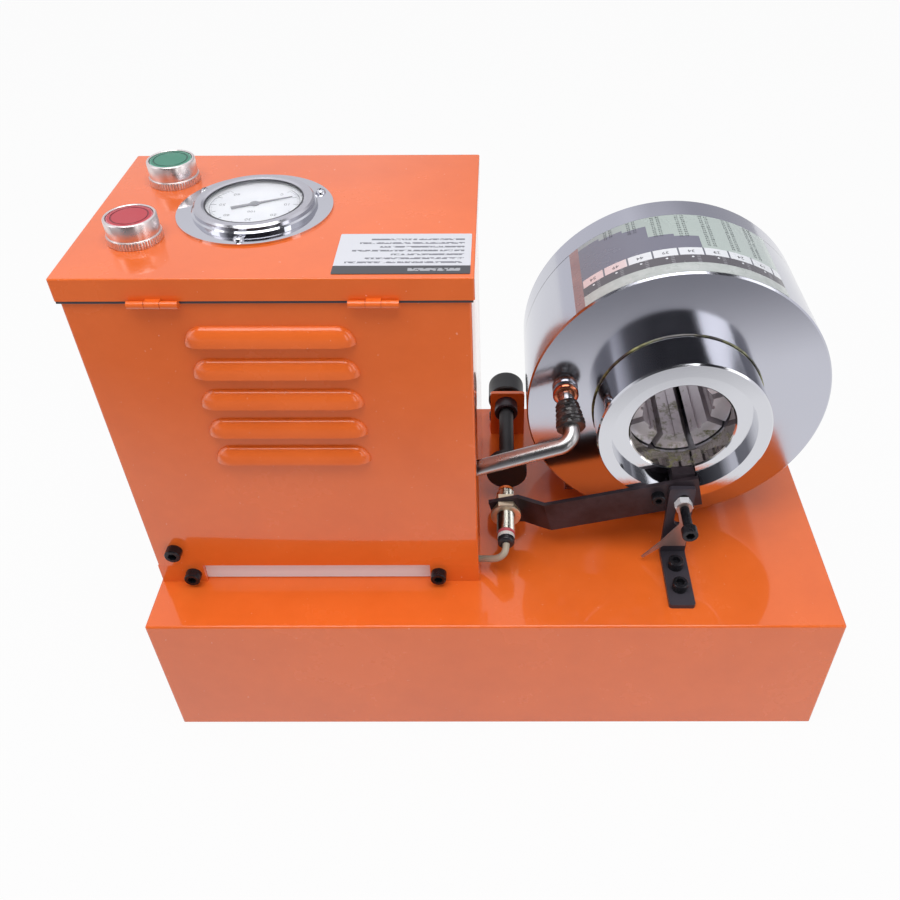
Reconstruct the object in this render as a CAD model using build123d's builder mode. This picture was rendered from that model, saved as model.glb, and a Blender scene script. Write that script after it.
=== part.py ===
from build123d import *
from math import cos, pi, radians, sin, tan
import os

# Hose crimping machine: an oil tank, a cabinet with its power unit, and a round
# crimping head. Millimetres, +Z up, the origin at the centre of the underside.
# +X runs along the tank from the cabinet to the head. The hose goes in from +Y,
# and the piston's tail with its sensor and return stop faces -Y.

# Fits and gaps
running_gap = 0.05
seat_gap = 0.2
clear_gap = 0.3
thread_gap = 0.15

# Oil tank
base_length = 437.0
base_depth = 220.0
base_height = 105.0
base_sheet = 2.5
base_fold = 1.5
floor_sheet = 3.0
pump_window_radius = 37.0
drain_inset = 40.0
drain_radius = 9.0
drain_boss_wall = 5.0
drain_boss_height = 6.0
plug_set_back = 1.0

# Cabinet
cabinet_left = -216.6
cabinet_right = -10.6
cabinet_depth = 145.0
cabinet_sheet = 1.5
frame_height = 15.5
frame_upstand = 21.5
frame_slot_left = -188.0
frame_slot_right = -42.0
cover_top = 326.0
cover_lip = 9.0
line_slot_near = -64.0
line_slot_far = -36.0
line_slot_bottom = 3.5
line_slot_top = 191.0

# Louvres in the cabinet's near wall
louvre_count = 5
louvre_pitch = 20.0
louvre_first = 211.0
louvre_middle = -115.0
louvre_length = 89.0
louvre_height = 10.5
louvre_depth = 5.5
louvre_sheet = 1.5
louvre_rounding = 4.0

# Lid and its hinges
lid_top = 329.9
lid_flange = 12.6
lid_side_gap = 0.3
lid_far_gap = 0.8
hinge_middles = (-168.6, -59.0)
hinge_length = 25.4
hinge_knuckle_length = 8.6
hinge_radius = 2.0
hinge_pin_radius = 1.1
hinge_offset = 2.3
hinge_drop = 0.6

# Pressure gauge in the lid
gauge_x = -130.8
gauge_y = 1.0
gauge_flange_radius = 42.5
gauge_flange_thick = 1.2
gauge_case_radius = 31.0
gauge_case_depth = 32.0
gauge_rim_radius = 34.0
gauge_rim_height = 2.2
gauge_wall = 1.5
bezel_radius = 32.6
bezel_height = 2.6
bezel_opening = 27.0
bezel_seat = 2.2
glass_thick = 1.4
glass_lift = 0.2
dial_drop = 2.3
dial_thick = 0.8
needle_angle = 24.0
needle_reach = 21.0
needle_tail = 13.0
needle_spindle_radius = 1.2
gauge_screw_circle = 37.8
gauge_screw_first = -91.5
gauge_screw_head = 2.9
gauge_screw_rise = 2.2
gauge_screw_radius = 1.5

# Push buttons, 22 mm size
green_button_x = -185.0
green_button_y = 38.0
red_button_x = -186.5
red_button_y = -33.0
button_ring_radius = 14.0
button_ring_height = 4.5
button_bezel_radius = 12.7
button_height = 13.5
button_cap_radius = 10.4
button_cap_height = 6.0
button_stem_radius = 5.0
button_barrel_radius = 10.9
button_barrel_length = 18.0
button_nut_radius = 14.0
button_nut_thick = 3.0
button_travel = 4.0
switch_block_side = 30.0
switch_block_height = 28.0

# Power unit
plate_thick = 15.0
plate_right_gap = 8.0
motor_x = -84.0
motor_y = 0.0
motor_radius = 50.0
motor_fin_radius = 55.0
motor_fin_count = 12
motor_fin_thick = 4.0
motor_height = 112.0
motor_flange_radius = 57.0
motor_flange_thick = 7.0
motor_cavity_radius = 37.0
motor_end_wall = 12.0
rotor_radius = 36.0
motor_shaft_radius = 7.0
motor_shaft_down = 12.0
cowl_sheet = 1.2
cowl_height = 36.0
cowl_lap = 14.0
fan_radius = 42.0
fan_height = 12.0
pump_side = 50.0
pump_height = 58.0
pump_inlet_radius = 9.0
pump_inlet_length = 26.0
valve_x = -174.0
valve_inset = 47.5
valve_side = 46.0
valve_height = 40.0
coil_radius = 18.0
coil_height = 44.0
contactor_x = -174.0
contactor_inset = 34.5
contactor_width = 44.0
contactor_depth = 52.0
contactor_height = 72.0
filler_x = -32.0
filler_inset = 20.5
filler_neck_radius = 6.0
filler_cap_radius = 10.0
filler_cap_height = 16.0

# Crimping head
head_x = 115.1
head_ground_gap = 2.8
barrel_radius = 95.0
barrel_near = -13.0
barrel_seam = 58.0
cap_far = 79.0
barrel_near_wall = 13.0
cylinder_bore = 82.0
cap_plate = 13.0
cap_bore = 34.0
tail_radius = 53.0
tail_rear = -42.7
tail_mouth_radius = 44.0
tail_mouth_depth = 7.2
hose_bore = 32.0
hose_bore_length = 13.9
cone_angle = 18.0
piston_rest_gap = 2.0
piston_front = 50.0
piston_stroke = 14.0
seal_depth = 4.0
seal_width = 4.0
seal_inset = 8.0
seal_pitch = 18.0
saddle_length = 70.0
saddle_depth = 40.0
saddle_near = 15.0
saddle_ear = 30.0
saddle_ear_thick = 6.0

# Dies and their shoes
die_count = 8
die_near = -15.0
die_far = 52.0
die_opening = 21.6
die_parting = 30.0
die_gap = 4.2
die_groove_width = 2.4
die_groove_depth = 1.6
shoe_gap = 0.7
key_width = 8.0
key_length = 4.4
key_inner = 44.0
key_outer = 56.0

# Sensor arm and proximity sensor
arm_height = 23.0
arm_thick = 3.0
arm_tilt = 13.8
arm_right_x = 127.6
arm_top_at_right = 170.6
arm_joggle_right = 32.0
arm_joggle_left = 15.0
arm_left_x = -4.5
arm_step = 12.0
arm_low_edge = 120.8
arm_low_right = 26.0
arm_end_round = 8.0
arm_screw_x = 103.7
arm_screw_z = 155.6
arm_screw_grip = 9.0
clip_left = 111.7
clip_right = 125.6
clip_top = 172.0
clip_bottom = 161.0
sensor_x = 7.0
sensor_z = 131.0
sensor_radius = 6.0
sensor_rear = -64.0
sensor_tip = -13.5
sensor_nut_flats = 17.0
sensor_nut_thick = 4.0
cable_radius = 2.25

# Return stop
stop_x = 118.25
stop_width = 16.5
stop_foot_near = -95.6
stop_face = -46.2
stop_plate = 3.2
stop_top = 165.0
stop_slot_bottom = 132.8
stop_slot_top = 160.0
stop_slot_width = 7.6
stop_screw_x = 119.6
stop_screw_z = 153.2
stop_screw_rear = -79.0
lock_nut_flats = 10.0
lock_nut_thick = 5.0
pointer_thick = 1.0
pointer_eye = 5.0
foot_screw_near = -81.4
foot_screw_far = -62.7

# Dial stop
dial_plate_left = -4.0
dial_plate_right = 21.6
dial_plate_near = 78.0
dial_plate_thick = 3.0
dial_plate_top = 144.0
dial_foot = 24.0
dial_x = 7.8
dial_z = 132.5
target_radius = 14.0
target_thick = 11.0
target_near = 1.0
spindle_radius = 5.25
spindle_nut_radius = 8.5
spindle_nut_length = 10.0
knob_radius = 13.3
knob_near = 84.0
knob_length = 20.0
knob_hub_radius = 8.5

# Pressure line
pipe_radius = 5.0
pipe_port_x = 44.0
pipe_port_z = 215.0
union_radius = 8.0
union_length = 6.0
pipe_inset = 9.5
pipe_turn_offset = 22.0
pipe_rise = 22.0
sleeve_upper_radius = 6.8
sleeve_lower_radius = 9.2
sleeve_start = 2.6
sleeve_length = 17.8

# Fasteners
m6_radius = 3.0
m6_head_radius = 5.0
m6_head_height = 6.0
m6_socket_flats = 5.0
m5_radius = 2.5
m5_head_radius = 4.25
m5_head_height = 5.0
m5_socket_flats = 4.0

# Places that follow from the sizes above
cabinet_length = cabinet_right - cabinet_left
cabinet_middle = (cabinet_left + cabinet_right) / 2
cabinet_near = -cabinet_depth / 2
valve_y = cabinet_near + valve_inset
contactor_y = -cabinet_near - contactor_inset
filler_y = -cabinet_near - filler_inset
frame_top = base_height + frame_height
frame_inner = 2 * cabinet_sheet + seat_gap
plate_top = base_height + plate_thick
motor_top = plate_top + motor_height
head_z = base_height + head_ground_gap + barrel_radius
piston_rear = barrel_near + barrel_near_wall + piston_rest_gap
cap_inner = cap_far - cap_plate
cone_slope = tan(radians(cone_angle))
die_stroke = piston_stroke * cone_slope
head_axis = Axis((head_x, 0, head_z), (0, 1, 0))
motor_axis = Axis((motor_x, motor_y, 0), (0, 0, 1))
gauge_axis = Axis((gauge_x, gauge_y, 0), (0, 0, 1))

os.makedirs("parts", exist_ok=True)


def cone_radius(y):
    """Radius of the piston's inner cone at the place y along the head's axis."""
    return hose_bore + (y - tail_rear - tail_mouth_depth - hose_bore_length) * cone_slope


def near_face(x, z, y=0.0):
    """A plane that faces the near side, with its origin at x, y, z."""
    return Plane(origin=(x, y, z), x_dir=(1, 0, 0), z_dir=(0, -1, 0))


def far_face(x, z, y=0.0):
    """A plane that faces the far side, with its origin at x, y, z."""
    return Plane(origin=(x, y, z), x_dir=(-1, 0, 0), z_dir=(0, 1, 0))


def socket_screw(seat, head_radius, head_height, flats, shank_radius, shank_length):
    """A socket head screw whose head stands on the seat plane."""
    with BuildPart() as screw:
        with BuildSketch(seat):
            Circle(head_radius)
        extrude(amount=head_height)
        chamfer(screw.edges().filter_by(GeomType.CIRCLE).sort_by(seat_axis(seat))[-1], 0.5)
        with BuildSketch(seat.offset(head_height)):
            RegularPolygon(radius=flats / 2, side_count=6, major_radius=False)
        extrude(amount=-head_height / 2, mode=Mode.SUBTRACT)
        with BuildSketch(seat):
            Circle(shank_radius)
        extrude(amount=-shank_length)
    return screw.part


def seat_axis(seat):
    """The axis that leaves a seat plane at its origin."""
    return Axis(seat.origin, seat.z_dir)


def hex_nut(seat, flats, thick, bore_radius):
    """A plain hexagon nut that stands on the seat plane."""
    with BuildPart() as nut:
        with BuildSketch(seat):
            RegularPolygon(radius=flats / 2, side_count=6, major_radius=False)
            Circle(bore_radius, mode=Mode.SUBTRACT)
        extrude(amount=thick)
    return nut.part


# Oil tank: one folded sheet, open below, with the openings for the pump, the filler and the bolts
base_shell_screws = [
    (stop_x, foot_screw_near),
    (stop_x, foot_screw_far),
    (dial_x - 8.0, dial_plate_near + dial_plate_thick + dial_foot / 2),
    (dial_x + 8.0, dial_plate_near + dial_plate_thick + dial_foot / 2),
    (head_x - saddle_length / 2 - saddle_ear / 2, saddle_near + saddle_depth / 4),
    (head_x - saddle_length / 2 - saddle_ear / 2, saddle_near + saddle_depth * 3 / 4),
    (head_x + saddle_length / 2 + saddle_ear / 2, saddle_near + saddle_depth / 4),
    (head_x + saddle_length / 2 + saddle_ear / 2, saddle_near + saddle_depth * 3 / 4),
]
with BuildPart() as base_shell:
    with BuildSketch(Plane.XY):
        Rectangle(base_length, base_depth)
    extrude(amount=base_height)
    fillet(base_shell.edges().filter_by(Axis.Z), base_fold)
    fillet(base_shell.faces().sort_by(Axis.Z)[-1].edges(), base_fold)
    with BuildSketch(Plane.XY):
        Rectangle(base_length - 2 * base_sheet, base_depth - 2 * base_sheet)
    extrude(amount=base_height - base_sheet, mode=Mode.SUBTRACT)
    with BuildSketch(Plane.XY.offset(base_height - base_sheet)):
        with Locations((motor_x, motor_y)):
            Circle(pump_window_radius)
        with Locations((filler_x, filler_y)):
            Circle(filler_neck_radius + clear_gap)
        with Locations(*base_shell_screws):
            Circle(m6_radius + thread_gap)
    extrude(amount=base_sheet, mode=Mode.SUBTRACT)
base_shell.part.label = "base_shell"
export_step(base_shell.part, "parts/base_shell.step")

# Tank floor, set flush into the tank's lower edge, with the drain hole
drain_x = base_length / 2 - drain_inset
with BuildPart() as base_floor:
    with BuildSketch(Plane.XY):
        Rectangle(base_length - 2 * base_sheet, base_depth - 2 * base_sheet)
        with Locations((drain_x, 0)):
            Circle(drain_radius, mode=Mode.SUBTRACT)
    extrude(amount=floor_sheet)
    with BuildSketch(Plane.XY.offset(floor_sheet)):
        with Locations((drain_x, 0)):
            Circle(drain_radius + drain_boss_wall)
            Circle(drain_radius, mode=Mode.SUBTRACT)
    extrude(amount=drain_boss_height)
base_floor.part.label = "base_floor"
export_step(base_floor.part, "parts/base_floor.step")

# Drain plug, screwed up into the floor's boss and set back from the ground
with BuildPart() as drain_plug:
    with BuildSketch(Plane.XY.offset(plug_set_back)):
        with Locations((drain_x, 0)):
            Circle(drain_radius - running_gap)
    extrude(amount=floor_sheet + drain_boss_height - plug_set_back)
    with BuildSketch(Plane.XY.offset(plug_set_back)):
        with Locations((drain_x, 0)):
            RegularPolygon(radius=4.0, side_count=6, major_radius=False)
    extrude(amount=5.0, mode=Mode.SUBTRACT)
drain_plug.part.label = "drain_plug"
export_step(drain_plug.part, "parts/drain_plug.step")

# Cabinet frame: a low joggled ring of sheet that the cover slips over
frame_screw_z = base_height + frame_height / 2
frame_screw_xs = (-195.0, -36.5)
cover_screw_x = -202.5
cover_screw_z = frame_top + 14.2
with BuildPart() as cabinet_frame:
    with BuildSketch(Plane.XY.offset(base_height)):
        with Locations((cabinet_middle, 0)):
            Rectangle(cabinet_length, cabinet_depth)
    extrude(amount=frame_height)
    with BuildSketch(Plane.XY.offset(frame_top)):
        with Locations((cabinet_middle, 0)):
            Rectangle(
                cabinet_length - 2 * cabinet_sheet - 2 * seat_gap,
                cabinet_depth - 2 * cabinet_sheet - 2 * seat_gap,
            )
    extrude(amount=frame_upstand)
    with BuildSketch(Plane.XY.offset(base_height)):
        with Locations((cabinet_middle, 0)):
            Rectangle(cabinet_length - 2 * frame_inner, cabinet_depth - 2 * frame_inner)
    extrude(amount=frame_height + frame_upstand, mode=Mode.SUBTRACT)
    # The near side is open between two corner tabs and shows the plate behind
    with BuildSketch(Plane.XY.offset(base_height)):
        with Locations(((frame_slot_left + frame_slot_right) / 2, cabinet_near)):
            Rectangle(frame_slot_right - frame_slot_left, 4 * frame_inner)
    extrude(amount=frame_height, mode=Mode.SUBTRACT)
    # Notch in the right side for the sensor's cable and the pressure pipe
    with BuildSketch(Plane.XY.offset(base_height + line_slot_bottom)):
        with Locations((cabinet_right, (line_slot_near + line_slot_far) / 2)):
            Rectangle(4 * frame_inner, line_slot_far - line_slot_near)
    extrude(amount=frame_height + frame_upstand, mode=Mode.SUBTRACT)
    for screw_x in frame_screw_xs:
        with BuildSketch(near_face(screw_x, frame_screw_z, cabinet_near)):
            Circle(m6_radius + thread_gap)
        extrude(amount=-cabinet_depth, mode=Mode.SUBTRACT)
    with BuildSketch(near_face(cover_screw_x, cover_screw_z, cabinet_near)):
        Circle(m6_radius + thread_gap)
    extrude(amount=-cabinet_depth, mode=Mode.SUBTRACT)
cabinet_frame.part.label = "cabinet_frame"
export_step(cabinet_frame.part, "parts/cabinet_frame.step")

# Power unit plate: the thick pale plate that carries the motor above and the pump below
plate_edge = frame_inner + seat_gap
plate_left = cabinet_left + plate_edge
plate_right = cabinet_right - frame_inner - plate_right_gap
plate_near = cabinet_near + plate_edge
with BuildPart() as power_unit_plate:
    with BuildSketch(Plane.XY.offset(base_height)):
        with Locations(((plate_left + plate_right) / 2, 0)):
            Rectangle(plate_right - plate_left, -2 * plate_near)
        with Locations((motor_x, motor_y)):
            Circle(motor_shaft_radius + 3.0, mode=Mode.SUBTRACT)
        with Locations((filler_x, filler_y)):
            Circle(filler_neck_radius + thread_gap, mode=Mode.SUBTRACT)
    extrude(amount=plate_thick)
    chamfer(power_unit_plate.faces().sort_by(Axis.Y)[0].edges().filter_by(Axis.X), 0.8)
    for screw_x in frame_screw_xs:
        with BuildSketch(near_face(screw_x, frame_screw_z, plate_near)):
            Circle(m6_radius + thread_gap)
        extrude(amount=-14.0, mode=Mode.SUBTRACT)
        with BuildSketch(far_face(screw_x, frame_screw_z, -plate_near)):
            Circle(m6_radius + thread_gap)
        extrude(amount=-14.0, mode=Mode.SUBTRACT)
power_unit_plate.part.label = "power_unit_plate"
export_step(power_unit_plate.part, "parts/power_unit_plate.step")

# Cabinet cover: a sheet wrap with an inward lip on top and five louvres in its near wall
louvre_sections = []
for step in range(louvre_count):
    louvre_sections.append(louvre_first + step * louvre_pitch)
cover_height = cover_top - frame_top


def louvre_hood(bottom):
    """A hood open below, with half-round ends and a well rounded upper edge."""
    with BuildPart() as hood:
        with BuildSketch(Plane.XY.offset(bottom)):
            with Locations((louvre_middle, cabinet_near)):
                SlotOverall(louvre_length, 2 * louvre_depth)
            with Locations((louvre_middle, cabinet_near + cabinet_sheet / 2)):
                Rectangle(2 * louvre_length, 2 * louvre_depth, align=(Align.CENTER, Align.MIN), mode=Mode.SUBTRACT)
        extrude(amount=louvre_height)
        upper_edges = hood.faces().sort_by(Axis.Z)[-1].edges()
        fillet(upper_edges.sort_by(Axis.Y)[:-1], louvre_rounding)
    return hood.part


with BuildPart() as cabinet_cover:
    with BuildSketch(Plane.XY.offset(frame_top)):
        with Locations((cabinet_middle, 0)):
            Rectangle(cabinet_length, cabinet_depth)
    extrude(amount=cover_height)
    fillet(cabinet_cover.edges().filter_by(Axis.Z), 1.2)
    for louvre_bottom in louvre_sections:
        add(louvre_hood(louvre_bottom))
    with BuildSketch(Plane.XY.offset(frame_top)):
        with Locations((cabinet_middle, 0)):
            Rectangle(cabinet_length - 2 * cabinet_sheet, cabinet_depth - 2 * cabinet_sheet)
    extrude(amount=cover_height - cabinet_sheet, mode=Mode.SUBTRACT)
    with BuildSketch(Plane.XY.offset(cover_top - cabinet_sheet)):
        with Locations((cabinet_middle, 0)):
            Rectangle(cabinet_length - 2 * cover_lip, cabinet_depth - 2 * cover_lip)
    extrude(amount=cabinet_sheet, mode=Mode.SUBTRACT)
    for louvre_bottom in louvre_sections:
        with BuildSketch(Plane.XY.offset(louvre_bottom)):
            with Locations((louvre_middle, cabinet_near)):
                SlotOverall(louvre_length - 2 * louvre_sheet, 2 * louvre_depth - 2 * louvre_sheet)
        extrude(amount=louvre_height - louvre_sheet, mode=Mode.SUBTRACT)
    # Slot for the pressure pipe and the cable, open at the bottom edge
    with BuildSketch(Plane.XY.offset(frame_top)):
        with Locations((cabinet_right, (line_slot_near + line_slot_far) / 2)):
            Rectangle(4 * cabinet_sheet, line_slot_far - line_slot_near)
    extrude(amount=line_slot_top - frame_top, mode=Mode.SUBTRACT)
    with BuildSketch(near_face(cover_screw_x, cover_screw_z, cabinet_near)):
        Circle(m6_radius + clear_gap)
    extrude(amount=-cabinet_depth, mode=Mode.SUBTRACT)
cabinet_cover.part.label = "cabinet_cover"
export_step(cabinet_cover.part, "parts/cabinet_cover.step")

# Cabinet screws: one for the cover and two for the frame on the near and the far side
with BuildPart() as cabinet_screws:
    for screw_x, screw_z in [
        (cover_screw_x, cover_screw_z),
        (frame_screw_xs[0], frame_screw_z),
        (frame_screw_xs[1], frame_screw_z),
    ]:
        for seat in [near_face(screw_x, screw_z, cabinet_near), far_face(screw_x, screw_z, -cabinet_near)]:
            add(socket_screw(seat, m6_head_radius, m6_head_height, m6_socket_flats, m6_radius, 12.0))
cabinet_screws.part.label = "cabinet_screws"
export_step(cabinet_screws.part, "parts/cabinet_screws.step")

# Hinges: knuckles on the cover and on the lid's flange, on a common pin
lid_near = cabinet_near - lid_side_gap - cabinet_sheet
lid_far = -cabinet_near + lid_far_gap + cabinet_sheet
lid_left = cabinet_left - lid_side_gap - cabinet_sheet
lid_right = cabinet_right + lid_side_gap + cabinet_sheet
lid_bottom = lid_top - lid_flange
hinge_y = lid_near - hinge_offset
hinge_z = lid_bottom - hinge_drop


def hinge_knuckle(x_low, x_high, bore_radius, web_low, web_high, web_end):
    """A knuckle along X with a web from its middle to the face at web_end."""
    with BuildPart() as knuckle:
        with BuildSketch(Plane(origin=(x_low, hinge_y, hinge_z), x_dir=(0, 1, 0), z_dir=(1, 0, 0))):
            Circle(hinge_radius)
            with Locations(((web_end - hinge_y) / 2, (web_low + web_high) / 2 - hinge_z)):
                Rectangle(web_end - hinge_y, web_high - web_low)
            Circle(bore_radius, mode=Mode.SUBTRACT)
        extrude(amount=x_high - x_low)
    return knuckle.part


middle_half = hinge_length / 2 - hinge_knuckle_length - clear_gap
with BuildPart() as hinge_lower_knuckles:
    for middle in hinge_middles:
        for low in (middle - hinge_length / 2, middle + hinge_length / 2 - hinge_knuckle_length):
            add(
                hinge_knuckle(
                    low,
                    low + hinge_knuckle_length,
                    hinge_pin_radius,
                    hinge_z - hinge_radius,
                    hinge_z - 0.4,
                    cabinet_near,
                )
            )
hinge_lower_knuckles.part.label = "hinge_lower_knuckles"
export_step(hinge_lower_knuckles.part, "parts/hinge_lower_knuckles.step")

with BuildPart() as hinge_upper_knuckles:
    for middle in hinge_middles:
        add(
            hinge_knuckle(
                middle - middle_half,
                middle + middle_half,
                hinge_pin_radius + running_gap,
                lid_bottom,
                hinge_z + hinge_radius,
                lid_near,
            )
        )
hinge_upper_knuckles.part.label = "hinge_upper_knuckles"
export_step(hinge_upper_knuckles.part, "parts/hinge_upper_knuckles.step")

with BuildPart() as hinge_pins:
    for middle in hinge_middles:
        pin_start = middle - hinge_length / 2
        with BuildSketch(Plane(origin=(pin_start, hinge_y, hinge_z), x_dir=(0, 1, 0), z_dir=(1, 0, 0))):
            Circle(hinge_pin_radius)
        extrude(amount=hinge_length)
hinge_pins.part.label = "hinge_pins"
export_step(hinge_pins.part, "parts/hinge_pins.step")

# Lid: a shallow folded pan with the gauge's and the buttons' holes
gauge_hole_radius = gauge_case_radius + clear_gap
button_places = [(green_button_x, green_button_y), (red_button_x, red_button_y)]
gauge_screw_places = []
for screw_number in range(3):
    screw_angle = gauge_screw_first + screw_number * 120.0
    gauge_screw_places.append(
        (
            gauge_x + gauge_screw_circle * cos(radians(screw_angle)),
            gauge_y + gauge_screw_circle * sin(radians(screw_angle)),
        )
    )
with BuildPart() as lid:
    with BuildSketch(Plane.XY.offset(lid_bottom)):
        with Locations(((lid_left + lid_right) / 2, (lid_near + lid_far) / 2)):
            Rectangle(lid_right - lid_left, lid_far - lid_near)
    extrude(amount=lid_flange)
    fillet(lid.edges().filter_by(Axis.Z), 1.2)
    fillet(lid.faces().sort_by(Axis.Z)[-1].edges(), 0.8)
    with BuildSketch(Plane.XY.offset(lid_bottom)):
        with Locations(((lid_left + lid_right) / 2, (lid_near + lid_far) / 2)):
            Rectangle(lid_right - lid_left - 2 * cabinet_sheet, lid_far - lid_near - 2 * cabinet_sheet)
    extrude(amount=lid_flange - cabinet_sheet, mode=Mode.SUBTRACT)
    with BuildSketch(Plane.XY.offset(lid_top - cabinet_sheet)):
        with Locations((gauge_x, gauge_y)):
            Circle(gauge_hole_radius)
        with Locations(*button_places):
            Circle(button_barrel_radius + thread_gap)
        with Locations(*gauge_screw_places):
            Circle(gauge_screw_radius + thread_gap)
    extrude(amount=cabinet_sheet, mode=Mode.SUBTRACT)
lid.part.label = "lid"
export_step(lid.part, "parts/lid.step")

# Gauge case: a cup below the lid with a flange on it and a stepped rim above
gauge_flange_top = lid_top + gauge_flange_thick
gauge_rim_top = gauge_flange_top + gauge_rim_height
dial_bottom = gauge_rim_top - dial_drop
with BuildPart() as gauge_case:
    with BuildSketch(Plane.XZ.offset(-gauge_y)):
        with BuildLine():
            Polyline(
                (gauge_x, lid_top - gauge_case_depth),
                (gauge_x + gauge_case_radius, lid_top - gauge_case_depth),
                (gauge_x + gauge_case_radius, lid_top),
                (gauge_x + gauge_flange_radius, lid_top),
                (gauge_x + gauge_flange_radius, gauge_flange_top),
                (gauge_x + gauge_rim_radius, gauge_flange_top),
                (gauge_x + gauge_rim_radius, gauge_rim_top - 0.8),
                (gauge_x + gauge_rim_radius - 0.8, gauge_rim_top),
                (gauge_x + gauge_case_radius - gauge_wall, gauge_rim_top),
                (gauge_x + gauge_case_radius - gauge_wall, dial_bottom),
                (gauge_x + gauge_case_radius - 3 * gauge_wall, dial_bottom),
                (gauge_x + gauge_case_radius - 3 * gauge_wall, lid_top - gauge_case_depth + gauge_wall),
                (gauge_x, lid_top - gauge_case_depth + gauge_wall),
                close=True,
            )
        make_face()
    revolve(axis=gauge_axis)
    with BuildSketch(Plane.XY.offset(lid_top)):
        with Locations(*gauge_screw_places):
            Circle(gauge_screw_radius + thread_gap)
    extrude(amount=gauge_flange_thick, mode=Mode.SUBTRACT)
gauge_case.part.label = "gauge_case"
export_step(gauge_case.part, "parts/gauge_case.step")

# Gauge dial, let into the case's rim
dial_radius = gauge_case_radius - gauge_wall - running_gap
with BuildPart() as gauge_dial:
    with BuildSketch(Plane.XY.offset(dial_bottom)):
        with Locations((gauge_x, gauge_y)):
            Circle(dial_radius)
            Circle(needle_spindle_radius + running_gap, mode=Mode.SUBTRACT)
    extrude(amount=dial_thick)
gauge_dial.part.label = "gauge_dial"
export_step(gauge_dial.part, "parts/gauge_dial.step")

# Gauge bezel: the rounded upper ring that holds the glass
bezel_top = gauge_rim_top + bezel_height
glass_bottom = gauge_rim_top + glass_lift
glass_top = glass_bottom + glass_thick
with BuildPart() as gauge_bezel:
    with BuildSketch(Plane.XZ.offset(-gauge_y)):
        with BuildLine():
            Polyline(
                (gauge_x + bezel_opening + bezel_seat, gauge_rim_top),
                (gauge_x + bezel_radius, gauge_rim_top),
                (gauge_x + bezel_radius, bezel_top - 1.0),
                (gauge_x + bezel_radius - 1.0, bezel_top),
                (gauge_x + bezel_opening + 1.2, bezel_top),
                (gauge_x + bezel_opening, bezel_top - 0.6),
                (gauge_x + bezel_opening, glass_top),
                (gauge_x + bezel_opening + bezel_seat, glass_top),
                close=True,
            )
        make_face()
    revolve(axis=gauge_axis)
gauge_bezel.part.label = "gauge_bezel"
export_step(gauge_bezel.part, "parts/gauge_bezel.step")

# Gauge glass
with BuildPart() as gauge_glass:
    with BuildSketch(Plane.XY.offset(glass_bottom)):
        with Locations((gauge_x, gauge_y)):
            Circle(bezel_opening + bezel_seat - running_gap)
    extrude(amount=glass_thick)
gauge_glass.part.label = "gauge_glass"
export_step(gauge_glass.part, "parts/gauge_glass.step")

# Gauge needle with its spindle, which turns in the dial
needle_z = dial_bottom + dial_thick + clear_gap
with BuildPart() as gauge_needle:
    needle_plane = Plane(
        origin=(gauge_x, gauge_y, needle_z),
        x_dir=(cos(radians(needle_angle)), sin(radians(needle_angle)), 0),
        z_dir=(0, 0, 1),
    )
    with BuildSketch(needle_plane):
        Polygon(
            (-needle_tail, -1.3),
            (0, -0.9),
            (needle_reach, -0.2),
            (needle_reach, 0.2),
            (0, 0.9),
            (-needle_tail, 1.3),
            align=None,
        )
        Circle(2.6)
    extrude(amount=0.5)
    with BuildSketch(needle_plane.offset(-dial_thick - clear_gap - 5.0)):
        Circle(needle_spindle_radius)
    extrude(amount=dial_thick + clear_gap + 5.0)
gauge_needle.part.label = "gauge_needle"
export_step(gauge_needle.part, "parts/gauge_needle.step")

# Gauge screws: three pan heads with a cross recess, on the flange
with BuildPart() as gauge_screws:
    for screw_x, screw_y in gauge_screw_places:
        with BuildSketch(Plane.XY.offset(gauge_flange_top)):
            with Locations((screw_x, screw_y)):
                Circle(gauge_screw_head)
        extrude(amount=gauge_screw_rise)
        with BuildSketch(Plane.XY.offset(gauge_flange_top)):
            with Locations((screw_x, screw_y)):
                Circle(gauge_screw_radius)
        extrude(amount=-8.0)
    fillet(gauge_screws.faces().group_by(Axis.Z)[-1].edges(), 1.0)
    with BuildSketch(Plane.XY.offset(gauge_flange_top + gauge_screw_rise)):
        with Locations(*gauge_screw_places):
            Rectangle(2.6, 0.6)
            Rectangle(0.6, 2.6)
    extrude(amount=-1.2, mode=Mode.SUBTRACT)
gauge_screws.part.label = "gauge_screws"
export_step(gauge_screws.part, "parts/gauge_screws.step")

# Push buttons: a knurled ring and a smooth bezel on a threaded barrel, with a sprung cap inside
cap_top = lid_top + button_height - 0.4
cap_bottom = cap_top - button_cap_height
barrel_bottom = lid_top - button_barrel_length
block_top = barrel_bottom
stem_bottom = barrel_bottom - 1.0


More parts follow.
